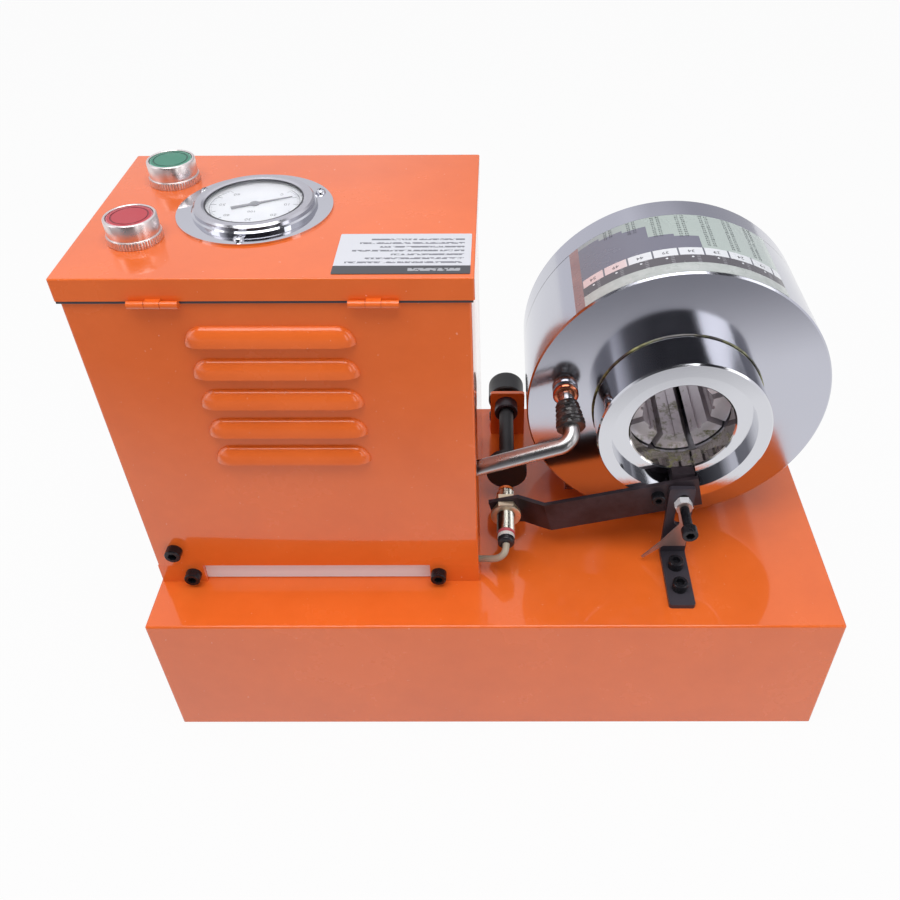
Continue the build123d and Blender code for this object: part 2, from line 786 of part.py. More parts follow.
def button_collar_part(x, y):
    """The fixed collar of a push button, with its nut under the lid."""
    axis = Axis((x, y, 0), (0, 0, 1))
    bore = button_cap_radius + clear_gap
    pocket_bottom = cap_bottom - button_travel - 1.0
    with BuildPart() as collar:
        with BuildSketch(Plane.XZ.offset(-y)):
            with BuildLine():
                Polyline(
                    (x + button_stem_radius + running_gap, barrel_bottom),
                    (x + button_barrel_radius, barrel_bottom),
                    (x + button_barrel_radius, lid_top),
                    (x + button_ring_radius, lid_top),
                    (x + button_ring_radius, lid_top + button_ring_height),
                    (x + button_bezel_radius, lid_top + button_ring_height + 0.4),
                    (x + button_bezel_radius, lid_top + button_height - 0.6),
                    (x + button_bezel_radius - 0.6, lid_top + button_height),
                    (x + bore, lid_top + button_height),
                    (x + bore, pocket_bottom),
                    (x + button_stem_radius + running_gap, pocket_bottom),
                    close=True,
                )
            make_face()
        revolve(axis=axis)
        with BuildSketch(Plane.XY.offset(lid_top - cabinet_sheet - button_nut_thick)):
            with Locations((x, y)):
                Circle(button_nut_radius)
                Circle(button_barrel_radius - clear_gap, mode=Mode.SUBTRACT)
        extrude(amount=button_nut_thick)
    return collar.part


def button_cap_part(x, y):
    """The cap of a push button with the stem that works the switch."""
    with BuildPart() as cap:
        with BuildSketch(Plane.XY.offset(cap_bottom)):
            with Locations((x, y)):
                Circle(button_cap_radius)
        extrude(amount=button_cap_height)
        fillet(cap.faces().sort_by(Axis.Z)[-1].edges(), 0.4)
        with BuildSketch(Plane.XY.offset(stem_bottom)):
            with Locations((x, y)):
                Circle(button_stem_radius)
        extrude(amount=cap_bottom - stem_bottom)
    return cap.part


with BuildPart() as green_button_collar:
    add(button_collar_part(green_button_x, green_button_y))
green_button_collar.part.label = "green_button_collar"
export_step(green_button_collar.part, "parts/green_button_collar.step")

with BuildPart() as red_button_collar:
    add(button_collar_part(red_button_x, red_button_y))
red_button_collar.part.label = "red_button_collar"
export_step(red_button_collar.part, "parts/red_button_collar.step")

with BuildPart() as green_button:
    add(button_cap_part(green_button_x, green_button_y))
green_button.part.label = "green_button"
export_step(green_button.part, "parts/green_button.step")

with BuildPart() as red_button:
    add(button_cap_part(red_button_x, red_button_y))
red_button.part.label = "red_button"
export_step(red_button.part, "parts/red_button.step")

# Switch blocks clipped on the buttons' barrels, with a well for the stem
with BuildPart() as switch_blocks:
    with BuildSketch(Plane.XY.offset(block_top - switch_block_height)):
        with Locations(*button_places):
            Rectangle(switch_block_side, switch_block_side)
    extrude(amount=switch_block_height)
    chamfer(switch_blocks.edges().filter_by(Axis.Z), 2.0)
    with BuildSketch(Plane.XY.offset(block_top)):
        with Locations(*button_places):
            Circle(button_stem_radius + clear_gap)
    extrude(amount=-button_travel - 4.0, mode=Mode.SUBTRACT)
    # Two terminal grooves across each block
    for x, y in button_places:
        with BuildSketch(Plane.XY.offset(block_top - switch_block_height)):
            with Locations((x, y - 9.0), (x, y + 9.0)):
                Rectangle(switch_block_side, 5.0)
        extrude(amount=6.0, mode=Mode.SUBTRACT)
switch_blocks.part.label = "switch_blocks"
export_step(switch_blocks.part, "parts/switch_blocks.step")

# Motor housing: a flanged, finned body with a cavity for the rotor
with BuildPart() as motor_housing:
    with BuildSketch(Plane.XZ.offset(-motor_y)):
        with BuildLine():
            Polyline(
                (motor_x + motor_shaft_radius + running_gap, plate_top),
                (motor_x + motor_flange_radius, plate_top),
                (motor_x + motor_flange_radius, plate_top + motor_flange_thick),
                (motor_x + motor_radius, plate_top + motor_flange_thick),
                (motor_x + motor_radius, motor_top),
                (motor_x + motor_shaft_radius + running_gap, motor_top),
                (motor_x + motor_shaft_radius + running_gap, motor_top - motor_end_wall),
                (motor_x + motor_cavity_radius, motor_top - motor_end_wall),
                (motor_x + motor_cavity_radius, plate_top + motor_end_wall),
                (motor_x + motor_shaft_radius + running_gap, plate_top + motor_end_wall),
                close=True,
            )
        make_face()
    revolve(axis=motor_axis)
    fin_top = motor_top - cowl_lap - 2.0
    fin_length = motor_fin_radius - motor_radius + 1.0
    with BuildSketch(Plane.XY.offset(plate_top + motor_flange_thick)):
        with Locations((motor_x, motor_y)):
            with PolarLocations(motor_fin_radius - fin_length / 2, motor_fin_count):
                Rectangle(fin_length, motor_fin_thick)
    extrude(amount=fin_top - plate_top - motor_flange_thick)
motor_housing.part.label = "motor_housing"
export_step(motor_housing.part, "parts/motor_housing.step")

# Fan cowl: a pressed cup over the fan, with a ring of air holes in its top
cowl_bottom = motor_top - cowl_lap
cowl_top = cowl_bottom + cowl_height
with BuildPart() as motor_fan_cowl:
    with BuildSketch(Plane.XY.offset(cowl_bottom)):
        with Locations((motor_x, motor_y)):
            Circle(motor_radius + seat_gap + cowl_sheet)
    extrude(amount=cowl_height)
    fillet(motor_fan_cowl.faces().sort_by(Axis.Z)[-1].edges(), 5.0)
    with BuildSketch(Plane.XY.offset(cowl_bottom)):
        with Locations((motor_x, motor_y)):
            Circle(motor_radius + seat_gap)
    extrude(amount=cowl_height - cowl_sheet - 5.0, mode=Mode.SUBTRACT)
    with BuildSketch(Plane.XY.offset(cowl_bottom)):
        with Locations((motor_x, motor_y)):
            Circle(motor_radius - 5.0)
    extrude(amount=cowl_height - cowl_sheet, mode=Mode.SUBTRACT)
    with BuildSketch(Plane.XY.offset(cowl_top - cowl_sheet)):
        with Locations((motor_x, motor_y)):
            with PolarLocations(30.0, 12):
                Circle(4.0)
            with PolarLocations(16.0, 6):
                Circle(4.0)
    extrude(amount=cowl_sheet, mode=Mode.SUBTRACT)
motor_fan_cowl.part.label = "motor_fan_cowl"
export_step(motor_fan_cowl.part, "parts/motor_fan_cowl.step")

# Rotor: shaft, core and the fan under the cowl
rotor_bottom = plate_top + motor_end_wall + 8.0
rotor_top = motor_top - motor_end_wall - 8.0
fan_bottom = motor_top + 3.0
with BuildPart() as motor_rotor:
    with BuildSketch(Plane.XY.offset(base_height - motor_shaft_down)):
        with Locations((motor_x, motor_y)):
            Circle(motor_shaft_radius)
    extrude(amount=fan_bottom + fan_height - base_height + motor_shaft_down)
    with BuildSketch(Plane.XY.offset(rotor_bottom)):
        with Locations((motor_x, motor_y)):
            Circle(rotor_radius)
    extrude(amount=rotor_top - rotor_bottom)
    with BuildSketch(Plane.XY.offset(fan_bottom)):
        with Locations((motor_x, motor_y)):
            Circle(12.0)
            with PolarLocations(fan_radius / 2 + 4.0, 6):
                Rectangle(fan_radius - 8.0, 2.5)
    extrude(amount=fan_height)
motor_rotor.part.label = "motor_rotor"
export_step(motor_rotor.part, "parts/motor_rotor.step")

# Gear pump, bolted under the plate and hanging into the oil, with its suction pipe
with BuildPart() as gear_pump:
    with BuildSketch(Plane.XY.offset(base_height - pump_height)):
        with Locations((motor_x, motor_y)):
            RectangleRounded(pump_side, pump_side, 6.0)
    extrude(amount=pump_height)
    with BuildSketch(Plane.XY.offset(base_height - pump_height / 2)):
        with Locations((motor_x, motor_y)):
            RectangleRounded(pump_side + 2.0, pump_side + 2.0, 7.0)
    extrude(amount=3.0)
    with BuildSketch(Plane.XY.offset(base_height - pump_height)):
        with Locations((motor_x, motor_y)):
            Circle(pump_inlet_radius)
    extrude(amount=-pump_inlet_length)
    with BuildSketch(Plane.XY.offset(base_height)):
        with Locations((motor_x, motor_y)):
            Circle(motor_shaft_radius + running_gap)
    extrude(amount=-motor_shaft_down - 2.0, mode=Mode.SUBTRACT)
gear_pump.part.label = "gear_pump"
export_step(gear_pump.part, "parts/gear_pump.step")

# Valve block with its port for the pressure pipe
pipe_level = plate_top + pipe_rise
valve_near = valve_y - valve_side / 2
with BuildPart() as valve_block:
    with BuildSketch(Plane.XY.offset(plate_top)):
        with Locations((valve_x, valve_y)):
            Rectangle(valve_side, valve_side)
    extrude(amount=valve_height)
    chamfer(valve_block.edges(), 1.0)
    with BuildSketch(near_face(valve_x, pipe_level, valve_near)):
        Circle(pipe_radius + running_gap)
    extrude(amount=-10.0, mode=Mode.SUBTRACT)
valve_block.part.label = "valve_block"
export_step(valve_block.part, "parts/valve_block.step")

# Solenoid coil on the valve block
with BuildPart() as solenoid_coil:
    with BuildSketch(Plane.XY.offset(plate_top + valve_height)):
        with Locations((valve_x, valve_y)):
            Circle(coil_radius)
    extrude(amount=coil_height - 8.0)
    with BuildSketch(Plane.XY.offset(plate_top + valve_height + coil_height - 8.0)):
        with Locations((valve_x, valve_y)):
            RegularPolygon(radius=9.0, side_count=6, major_radius=False)
    extrude(amount=8.0)
    with BuildSketch(Plane.XY.offset(plate_top + valve_height + 8.0)):
        with Locations((valve_x, valve_y + coil_radius)):
            Rectangle(18.0, 16.0)
    extrude(amount=20.0)
solenoid_coil.part.label = "solenoid_coil"
export_step(solenoid_coil.part, "parts/solenoid_coil.step")

# Contactor for the motor, standing on the plate
with BuildPart() as contactor:
    with BuildSketch(Plane.XY.offset(plate_top)):
        with Locations((contactor_x, contactor_y)):
            Rectangle(contactor_width, contactor_depth)
    extrude(amount=contactor_height)
    for shelf_bottom in (plate_top, plate_top + contactor_height - 12.0):
        with BuildSketch(Plane.XY.offset(shelf_bottom)):
            with Locations(
                (contactor_x + contactor_width / 2, contactor_y),
                (contactor_x - contactor_width / 2, contactor_y),
            ):
                Rectangle(12.0, contactor_depth)
        extrude(amount=12.0, mode=Mode.SUBTRACT)
contactor.part.label = "contactor"
export_step(contactor.part, "parts/contactor.step")

# Oil filler cap with its neck through the plate into the tank
with BuildPart() as filler_cap:
    with BuildSketch(Plane.XY.offset(plate_top)):
        with Locations((filler_x, filler_y)):
            Circle(filler_cap_radius)
    extrude(amount=filler_cap_height)
    fillet(filler_cap.faces().sort_by(Axis.Z)[-1].edges(), 3.0)
    with BuildSketch(Plane.XY.offset(plate_top)):
        with Locations((filler_x, filler_y)):
            Circle(filler_neck_radius)
    extrude(amount=-plate_thick - base_sheet - 12.0)
filler_cap.part.label = "filler_cap"
export_step(filler_cap.part, "parts/filler_cap.step")

# Head barrel: the chromed cylinder with the tail's hole and the oil port in its near wall
with BuildPart() as head_barrel:
    with BuildSketch(Plane.XY.offset(head_z)):
        with BuildLine():
            Polyline(
                (head_x + tail_radius + running_gap, barrel_near),
                (head_x + barrel_radius - 1.0, barrel_near),
                (head_x + barrel_radius, barrel_near + 1.0),
                (head_x + barrel_radius, barrel_seam),
                (head_x + cylinder_bore, barrel_seam),
                (head_x + cylinder_bore, barrel_near + barrel_near_wall),
                (head_x + tail_radius + running_gap, barrel_near + barrel_near_wall),
                close=True,
            )
        make_face()
    revolve(axis=head_axis)
    with BuildSketch(near_face(pipe_port_x, pipe_port_z, barrel_near)):
        Circle(pipe_radius - 1.5)
    extrude(amount=-barrel_near_wall, mode=Mode.SUBTRACT)
head_barrel.part.label = "head_barrel"
export_step(head_barrel.part, "parts/head_barrel.step")

# Front cap: closes the barrel, and guides the shoes' keys in eight radial slots
with BuildPart() as head_front_cap:
    with BuildSketch(Plane.XY.offset(head_z)):
        with BuildLine():
            Polyline(
                (head_x + cylinder_bore, barrel_seam),
                (head_x + barrel_radius, barrel_seam),
                (head_x + barrel_radius, cap_far - 1.5),
                (head_x + barrel_radius - 1.5, cap_far),
                (head_x + cap_bore + 4.0, cap_far),
                (head_x + cap_bore, cap_far - 4.0),
                (head_x + cap_bore, cap_inner),
                (head_x + cylinder_bore, cap_inner),
                close=True,
            )
        make_face()
    revolve(axis=head_axis)
    slot_inner = key_inner - die_stroke - 1.5
    slot_outer = key_outer + 1.0
    with BuildSketch(Plane(origin=(head_x, cap_inner, head_z), x_dir=(1, 0, 0), z_dir=(0, 1, 0))):
        with PolarLocations((slot_inner + slot_outer) / 2, die_count):
            Rectangle(slot_outer - slot_inner, key_width + 2 * clear_gap)
    extrude(amount=key_length + 0.6, mode=Mode.SUBTRACT)
head_front_cap.part.label = "head_front_cap"
export_step(head_front_cap.part, "parts/head_front_cap.step")

# Saddle under the head, with an ear for its bolts on each side
with BuildPart() as head_saddle:
    with BuildSketch(Plane.XY.offset(base_height)):
        with Locations((head_x, saddle_near + saddle_depth / 2)):
            Rectangle(saddle_length, saddle_depth)
    extrude(amount=barrel_radius / 3)
    with BuildSketch(Plane.XY.offset(base_height)):
        with Locations((head_x, saddle_near + saddle_depth / 2)):
            Rectangle(saddle_length + 2 * saddle_ear, saddle_depth)
    extrude(amount=saddle_ear_thick)
    with BuildSketch(far_face(head_x, head_z, saddle_near)):
        Circle(barrel_radius + seat_gap)
    extrude(amount=saddle_depth, mode=Mode.SUBTRACT)
    with BuildSketch(Plane.XY.offset(base_height)):
        with Locations(*base_shell_screws[4:]):
            Circle(m6_radius + thread_gap)
    extrude(amount=saddle_ear_thick, mode=Mode.SUBTRACT)
head_saddle.part.label = "head_saddle"
export_step(head_saddle.part, "parts/head_saddle.step")

# Piston: the ring piston with its tail, hose bore and inner cone
tail_mouth_floor = tail_rear + tail_mouth_depth
cone_start = tail_mouth_floor + hose_bore_length
piston_radius = cylinder_bore - running_gap
seal_places = (piston_rear + seal_inset, piston_rear + seal_inset + seal_pitch)
with BuildPart() as piston:
    with BuildSketch(Plane.XY.offset(head_z)):
        with BuildLine():
            Polyline(
                (head_x + tail_mouth_radius, tail_rear),
                (head_x + tail_radius - 1.0, tail_rear),
                (head_x + tail_radius, tail_rear + 1.0),
                (head_x + tail_radius, piston_rear),
                (head_x + piston_radius, piston_rear),
                (head_x + piston_radius, piston_front),
                (head_x + cone_radius(piston_front), piston_front),
                (head_x + hose_bore, cone_start),
                (head_x + hose_bore, tail_mouth_floor + 1.0),
                (head_x + hose_bore + 1.0, tail_mouth_floor),
                (head_x + tail_mouth_radius, tail_mouth_floor),
                close=True,
            )
        make_face()
    revolve(axis=head_axis)
    for seal_place in seal_places:
        with BuildSketch(Plane(origin=(head_x, seal_place, head_z), x_dir=(1, 0, 0), z_dir=(0, 1, 0))):
            Circle(piston_radius + 1.0)
            Circle(piston_radius - seal_depth, mode=Mode.SUBTRACT)
        extrude(amount=seal_width, mode=Mode.SUBTRACT)
    with BuildSketch(near_face(arm_screw_x, arm_screw_z, tail_rear)):
        Circle(m5_radius + thread_gap)
    extrude(amount=-arm_screw_grip - 1.0, mode=Mode.SUBTRACT)
piston.part.label = "piston"
export_step(piston.part, "parts/piston.step")

# Piston rings, one seal and one guide, in the piston's grooves
with BuildPart() as piston_seals:
    for seal_place in seal_places:
        with BuildSketch(Plane(origin=(head_x, seal_place, head_z), x_dir=(1, 0, 0), z_dir=(0, 1, 0))):
            Circle(cylinder_bore - running_gap / 2)
            Circle(piston_radius - seal_depth + running_gap, mode=Mode.SUBTRACT)
        extrude(amount=seal_width)
piston_seals.part.label = "piston_seals"
export_step(piston_seals.part, "parts/piston_seals.step")

# Eight dies, each a hardened jaw in a shoe that the piston's cone pushes inwards
shoe_far = cap_inner - clear_gap
half_pitch = pi / die_count
die_tip_half = (die_opening - die_gap / 2 / sin(half_pitch)) * tan(half_pitch)
shoe_root = cylinder_bore
shoe_root_half = (shoe_root - die_gap / 2 / sin(half_pitch)) * tan(half_pitch)
parting_half = (die_parting - die_gap / 2 / sin(half_pitch)) * tan(half_pitch)
for number in range(die_count):
    angle = -pi / 2 + number * 2 * pi / die_count
    outward = (cos(angle), 0, sin(angle))
    section_plane = Plane(origin=(head_x, die_near, head_z), x_dir=outward, z_dir=(0, 1, 0))
    profile_plane = Plane(origin=(head_x, 0, head_z), x_dir=outward, z_dir=(sin(angle), 0, -cos(angle)))
    profile_side = profile_plane.y_dir.Y
    with BuildPart() as shoe:
        with BuildSketch(profile_plane):
            with BuildLine():
                Polyline(
                    (die_parting * 0.9, profile_side * die_near),
                    (cone_radius(die_near) - shoe_gap, profile_side * die_near),
                    (cone_radius(shoe_far) - shoe_gap, profile_side * shoe_far),
                    (die_parting * 0.9, profile_side * shoe_far),
                    close=True,
                )
            make_face()
        revolve(axis=head_axis)
        with BuildSketch(section_plane):
            Polygon(
                (die_parting, -parting_half),
                (shoe_root, -shoe_root_half),
                (shoe_root, shoe_root_half),
                (die_parting, parting_half),
                align=None,
            )
        extrude(amount=shoe_far - die_near, mode=Mode.INTERSECT)
        with BuildSketch(section_plane.offset(shoe_far - die_near)):
            with Locations(((key_inner + key_outer) / 2, 0)):
                Rectangle(key_outer - key_inner, key_width)
        extrude(amount=key_length)
    with BuildPart() as jaw:
        with BuildSketch(section_plane):
            Polygon(
                (die_opening, -die_tip_half),
                (die_parting, -parting_half),
                (die_parting, parting_half),
                (die_opening, die_tip_half),
                align=None,
            )
            with Locations((die_opening, 0)):
                Rectangle(2 * die_groove_depth, die_groove_width, mode=Mode.SUBTRACT)
        extrude(amount=die_far - die_near)
    name = f"crimp_die_{number + 1}"
    die = Compound(label=name, children=[shoe.part, jaw.part])
    export_step(die, f"parts/{name}.step")

# Sensor arm: a joggled flat bar on the tail's rear face, with a block in the tail's mouth
tilt = radians(arm_tilt)
arm_along = (cos(tilt), 0, sin(tilt))
arm_across = (-sin(tilt), 0, cos(tilt))
arm_rear = tail_rear - arm_thick


def arm_reach(x):
    """Distance along the tilted bar from its right end's top corner to the place x."""
    return (x - arm_right_x) / cos(tilt)


arm_plane = Plane(
    origin=(arm_right_x, 0, arm_top_at_right),
    x_dir=arm_along,
    z_dir=arm_across,
)
arm_side = arm_plane.y_dir.Y
sensor_reach = arm_reach(sensor_x)
with BuildPart() as sensor_arm:
    with BuildSketch(arm_plane):
        Polygon(
            (0, arm_side * tail_rear),
            (arm_reach(arm_joggle_right), arm_side * tail_rear),
            (arm_reach(arm_joggle_left), arm_side * (tail_rear + arm_step)),
            (arm_reach(arm_left_x), arm_side * (tail_rear + arm_step)),
            (arm_reach(arm_left_x), arm_side * (arm_rear + arm_step)),
            (arm_reach(arm_joggle_left) - 0.6, arm_side * (arm_rear + arm_step)),
            (arm_reach(arm_joggle_right) - 0.6, arm_side * arm_rear),
            (0, arm_side * arm_rear),
            align=None,
        )
    extrude(amount=-arm_height)
    # The lower edge runs level under the sensor, and the end is rounded below
    with BuildSketch(near_face(arm_low_right, arm_low_edge)):
        Rectangle(2 * arm_low_right, arm_height, align=(Align.MAX, Align.MAX))
    extrude(amount=-tail_rear, mode=Mode.SUBTRACT)
    fillet(sensor_arm.edges().filter_by(Axis.Y).sort_by(Axis.X)[1], arm_end_round)
    with BuildSketch(near_face(sensor_x, sensor_z, arm_rear)):
        Circle(sensor_radius + thread_gap)
    extrude(amount=-2 * arm_step, mode=Mode.SUBTRACT)
    with BuildSketch(near_face((clip_left + clip_right) / 2, clip_top, tail_rear)):
        Rectangle(clip_right - clip_left, clip_top - clip_bottom, align=(Align.CENTER, Align.MAX))
    extrude(amount=-tail_mouth_depth + clear_gap)
    with BuildSketch(near_face(arm_screw_x, arm_screw_z, arm_rear)):
        Circle(m5_radius + thread_gap)
    extrude(amount=-arm_thick, mode=Mode.SUBTRACT)
sensor_arm.part.label = "sensor_arm"
export_step(sensor_arm.part, "parts/sensor_arm.step")

# Arm screw into the tail
with BuildPart() as arm_screw:
    seat = near_face(arm_screw_x, arm_screw_z, arm_rear)
    grip = arm_thick + arm_screw_grip
    add(socket_screw(seat, m5_head_radius, m5_head_height, m5_socket_flats, m5_radius, grip))
arm_screw.part.label = "arm_screw"
export_step(arm_screw.part, "parts/arm_screw.step")

# Proximity sensor: a threaded barrel with a stepped tip and a smooth rear end
sensor_far_face = tail_rear + arm_step
sensor_near_face = sensor_far_face - arm_thick
with BuildPart() as proximity_sensor:
    with BuildSketch(near_face(sensor_x, sensor_z, sensor_tip)):
        Circle(sensor_radius - 1.0)
    extrude(amount=3.0)
    with BuildSketch(near_face(sensor_x, sensor_z, sensor_tip - 3.0)):
        Circle(sensor_radius)
    extrude(amount=sensor_tip - 3.0 - sensor_rear - 9.0)
    with BuildSketch(near_face(sensor_x, sensor_z, sensor_rear + 9.0)):
        Circle(sensor_radius - 0.4)
    extrude(amount=9.0)
    chamfer(proximity_sensor.faces().sort_by(Axis.Y)[0].edges(), 1.2)
    fillet(proximity_sensor.faces().sort_by(Axis.Y)[-1].edges(), 0.8)
proximity_sensor.part.label = "proximity_sensor"
export_step(proximity_sensor.part, "parts/proximity_sensor.step")

# Two nuts that clamp the sensor to the arm
with BuildPart() as sensor_nuts:
    bore = sensor_radius + running_gap
    add(hex_nut(near_face(sensor_x, sensor_z, sensor_near_face), sensor_nut_flats, sensor_nut_thick, bore))
    add(hex_nut(far_face(sensor_x, sensor_z, sensor_far_face), sensor_nut_flats, sensor_nut_thick, bore))
sensor_nuts.part.label = "sensor_nuts"
export_step(sensor_nuts.part, "parts/sensor_nuts.step")

# Sensor cable, from the sensor's rear end through the notch into the cabinet
cable_route = [
    (sensor_x, sensor_rear, sensor_z),
    (sensor_x, sensor_rear - 5.0, sensor_z - 1.5),
    (sensor_x - 3.5, sensor_rear - 5.5, sensor_z - 6.5),
    (sensor_x - 8.0, sensor_rear - 2.5, sensor_z - 11.5),
    (sensor_x - 16.0, sensor_rear + 3.0, sensor_z - 17.0),
    (cabinet_right - 8.0, sensor_rear + 5.0, sensor_z - 19.5),
]
cable_turns = []
for before, corner, after in zip(cable_route, cable_route[1:], cable_route[2:]):
    into = Vector(*corner) - Vector(*before)
    away = Vector(*after) - Vector(*corner)
    half_turn = radians(into.get_angle(away) / 2)
    cable_turns.append(0.45 * min(into.length, away.length) / tan(half_turn))
with BuildPart() as sensor_cable:
    with BuildLine() as cable_line:
        FilletPolyline(*cable_route, radius=cable_turns)
    with BuildSketch(near_face(sensor_x, sensor_z, sensor_rear)):
        Circle(cable_radius)
    sweep(path=cable_line.wires()[0])
sensor_cable.part.label = "sensor_cable"
export_step(sensor_cable.part, "parts/sensor_cable.step")

# Return stop bracket: a folded flat bar with a slot in its upright
stop_left = stop_x - stop_width / 2
stop_right = stop_x + stop_width / 2
stop_near_face = stop_face - stop_plate
with BuildPart() as stop_bracket:
    with BuildSketch(Plane.YZ.offset(stop_left)):
        Polygon(
            (stop_foot_near, base_height),
            (stop_face, base_height),
            (stop_face, stop_top),
            (stop_near_face, stop_top),
            (stop_near_face, base_height + stop_plate),
            (stop_foot_near, base_height + stop_plate),
            align=None,
        )
    extrude(amount=stop_width)
    fillet(stop_bracket.edges().filter_by(Axis.Y).group_by(Axis.Z)[-1], 2.0)
    fillet(stop_bracket.edges().filter_by(Axis.Z).group_by(Axis.Y)[0], 2.0)
    with BuildSketch(near_face(stop_screw_x, (stop_slot_bottom + stop_slot_top) / 2, stop_near_face)):
        SlotOverall(stop_slot_top - stop_slot_bottom, stop_slot_width, rotation=90)
    extrude(amount=-stop_plate, mode=Mode.SUBTRACT)
    with BuildSketch(Plane.XY.offset(base_height)):
        with Locations(*base_shell_screws[:2]):
            Circle(m6_radius + thread_gap)
    extrude(amount=stop_plate, mode=Mode.SUBTRACT)
stop_bracket.part.label = "stop_bracket"
export_step(stop_bracket.part, "parts/stop_bracket.step")

# Stop screw: its tip stands just clear of the arm
stop_seat_y = stop_screw_rear + m6_head_height
with BuildPart() as stop_screw:
    seat = near_face(stop_screw_x, stop_screw_z, stop_seat_y)
    reach = arm_rear - clear_gap - stop_seat_y
    add(socket_screw(seat, m6_head_radius, m6_head_height, m6_socket_flats, m6_radius, reach))
stop_screw.part.label = "stop_screw"
export_step(stop_screw.part, "parts/stop_screw.step")

# Lock nut on the upright
with BuildPart() as stop_lock_nut:
    seat = near_face(stop_screw_x, stop_screw_z, stop_near_face)
    add(hex_nut(seat, lock_nut_flats, lock_nut_thick, m6_radius + running_gap))
stop_lock_nut.part.label = "stop_lock_nut"
export_step(stop_lock_nut.part, "parts/stop_lock_nut.step")

# Pointer plate: an eye behind the lock nut, a thin triangle below it and a long finger
pointer_near = stop_near_face - lock_nut_thick - pointer_thick
with BuildPart() as pointer_plate:
    with BuildSketch(near_face(stop_screw_x, stop_screw_z, pointer_near + pointer_thick)):
        Circle(pointer_eye)
        Polygon(
            (3.6, -3.0),
            (4.8, -10.0),
            (4.8, -33.4),
            (-9.6, -33.4),
            (-21.9, -45.0),
            (-22.8, -43.9),
            (-11.2, -29.0),
            (-1.4, -13.2),
            (-3.6, -3.0),
            align=None,
        )
        Circle(m6_radius + running_gap, mode=Mode.SUBTRACT)
    extrude(amount=pointer_thick)
pointer_plate.part.label = "pointer_plate"
export_step(pointer_plate.part, "parts/pointer_plate.step")

# Dial bracket: a folded plate on the tank with the spindle's hole
dial_plate_far = dial_plate_near + dial_plate_thick
with BuildPart() as dial_bracket:
    with BuildSketch(Plane.YZ.offset(dial_plate_left)):
        Polygon(
            (dial_plate_near, base_height),
            (dial_plate_far + dial_foot, base_height),
            (dial_plate_far + dial_foot, base_height + dial_plate_thick),
            (dial_plate_far, base_height + dial_plate_thick),
            (dial_plate_far, dial_plate_top),
            (dial_plate_near, dial_plate_top),
            align=None,
        )
    extrude(amount=dial_plate_right - dial_plate_left)
    fillet(dial_bracket.edges().filter_by(Axis.Y).group_by(Axis.Z)[-1], 2.0)
    with BuildSketch(near_face(dial_x, dial_z, dial_plate_near)):
        Circle(spindle_radius + running_gap)
    extrude(amount=-dial_plate_thick, mode=Mode.SUBTRACT)
    with BuildSketch(Plane.XY.offset(base_height)):
        with Locations(*base_shell_screws[2:4]):
            Circle(m6_radius + thread_gap)
    extrude(amount=dial_plate_thick, mode=Mode.SUBTRACT)
dial_bracket.part.label = "dial_bracket"
export_step(dial_bracket.part, "parts/dial_bracket.step")

# Round guide nut on the near side of the dial bracket
with BuildPart() as spindle_guide:
    with BuildSketch(near_face(dial_x, dial_z, dial_plate_near)):
        Circle(spindle_nut_radius)
        Circle(spindle_radius + running_gap, mode=Mode.SUBTRACT)
    extrude(amount=spindle_nut_length)
    chamfer(spindle_guide.faces().sort_by(Axis.Y)[0].edges(), 0.8)
spindle_guide.part.label = "spindle_guide"
export_step(spindle_guide.part, "parts/spindle_guide.step")

# Target spindle: the black disc that the sensor looks at, on its threaded shaft
spindle_end = knob_near + knob_length / 2
with BuildPart() as target_spindle:
    with BuildSketch(far_face(dial_x, dial_z, target_near)):
        Circle(target_radius)
    extrude(amount=target_thick)
    chamfer(target_spindle.faces().sort_by(Axis.Y)[0].edges(), 1.0)
    chamfer(target_spindle.faces().sort_by(Axis.Y)[-1].edges(), 1.0)
    with BuildSketch(far_face(dial_x, dial_z, target_near + target_thick)):
        Circle(spindle_radius)
    extrude(amount=spindle_end - target_near - target_thick)
target_spindle.part.label = "target_spindle"
export_step(target_spindle.part, "parts/target_spindle.step")

# Dial knob: the turned nut that draws the spindle in and out
knob_far = knob_near + knob_length
with BuildPart() as dial_knob:
    with BuildSketch(Plane.XY.offset(dial_z)):
        with BuildLine():
            Polyline(
                (dial_x + spindle_radius + running_gap, dial_plate_far + clear_gap),
                (dial_x + knob_hub_radius, dial_plate_far + clear_gap),
                (dial_x + knob_hub_radius, knob_near),
                (dial_x + knob_radius - 1.0, knob_near),
                (dial_x + knob_radius, knob_near + 1.0),
                (dial_x + knob_radius, knob_far - 1.5),
                (dial_x + knob_radius - 1.5, knob_far),
                (dial_x, knob_far),
                (dial_x, knob_far - 2.0),
                (dial_x + spindle_radius + running_gap, knob_far - 2.0),
                close=True,
            )
        make_face()
    revolve(axis=Axis((dial_x, 0, dial_z), (0, 1, 0)))
dial_knob.part.label = "dial_knob"
export_step(dial_knob.part, "parts/dial_knob.step")

# Screws that hold the stop bracket, the dial bracket and the saddle to the tank
with BuildPart() as base_screws:
    foot_heights = 2 * [stop_plate] + 2 * [dial_plate_thick] + 4 * [saddle_ear_thick]
    for (screw_x, screw_y), foot in zip(base_shell_screws, foot_heights):
        seat = Plane(origin=(screw_x, screw_y, base_height + foot), z_dir=(0, 0, 1))
        add(socket_screw(seat, m6_head_radius, m6_head_height, m6_socket_flats, m6_radius, foot + 8.0))
base_screws.part.label = "base_screws"
export_step(base_screws.part, "parts/base_screws.step")

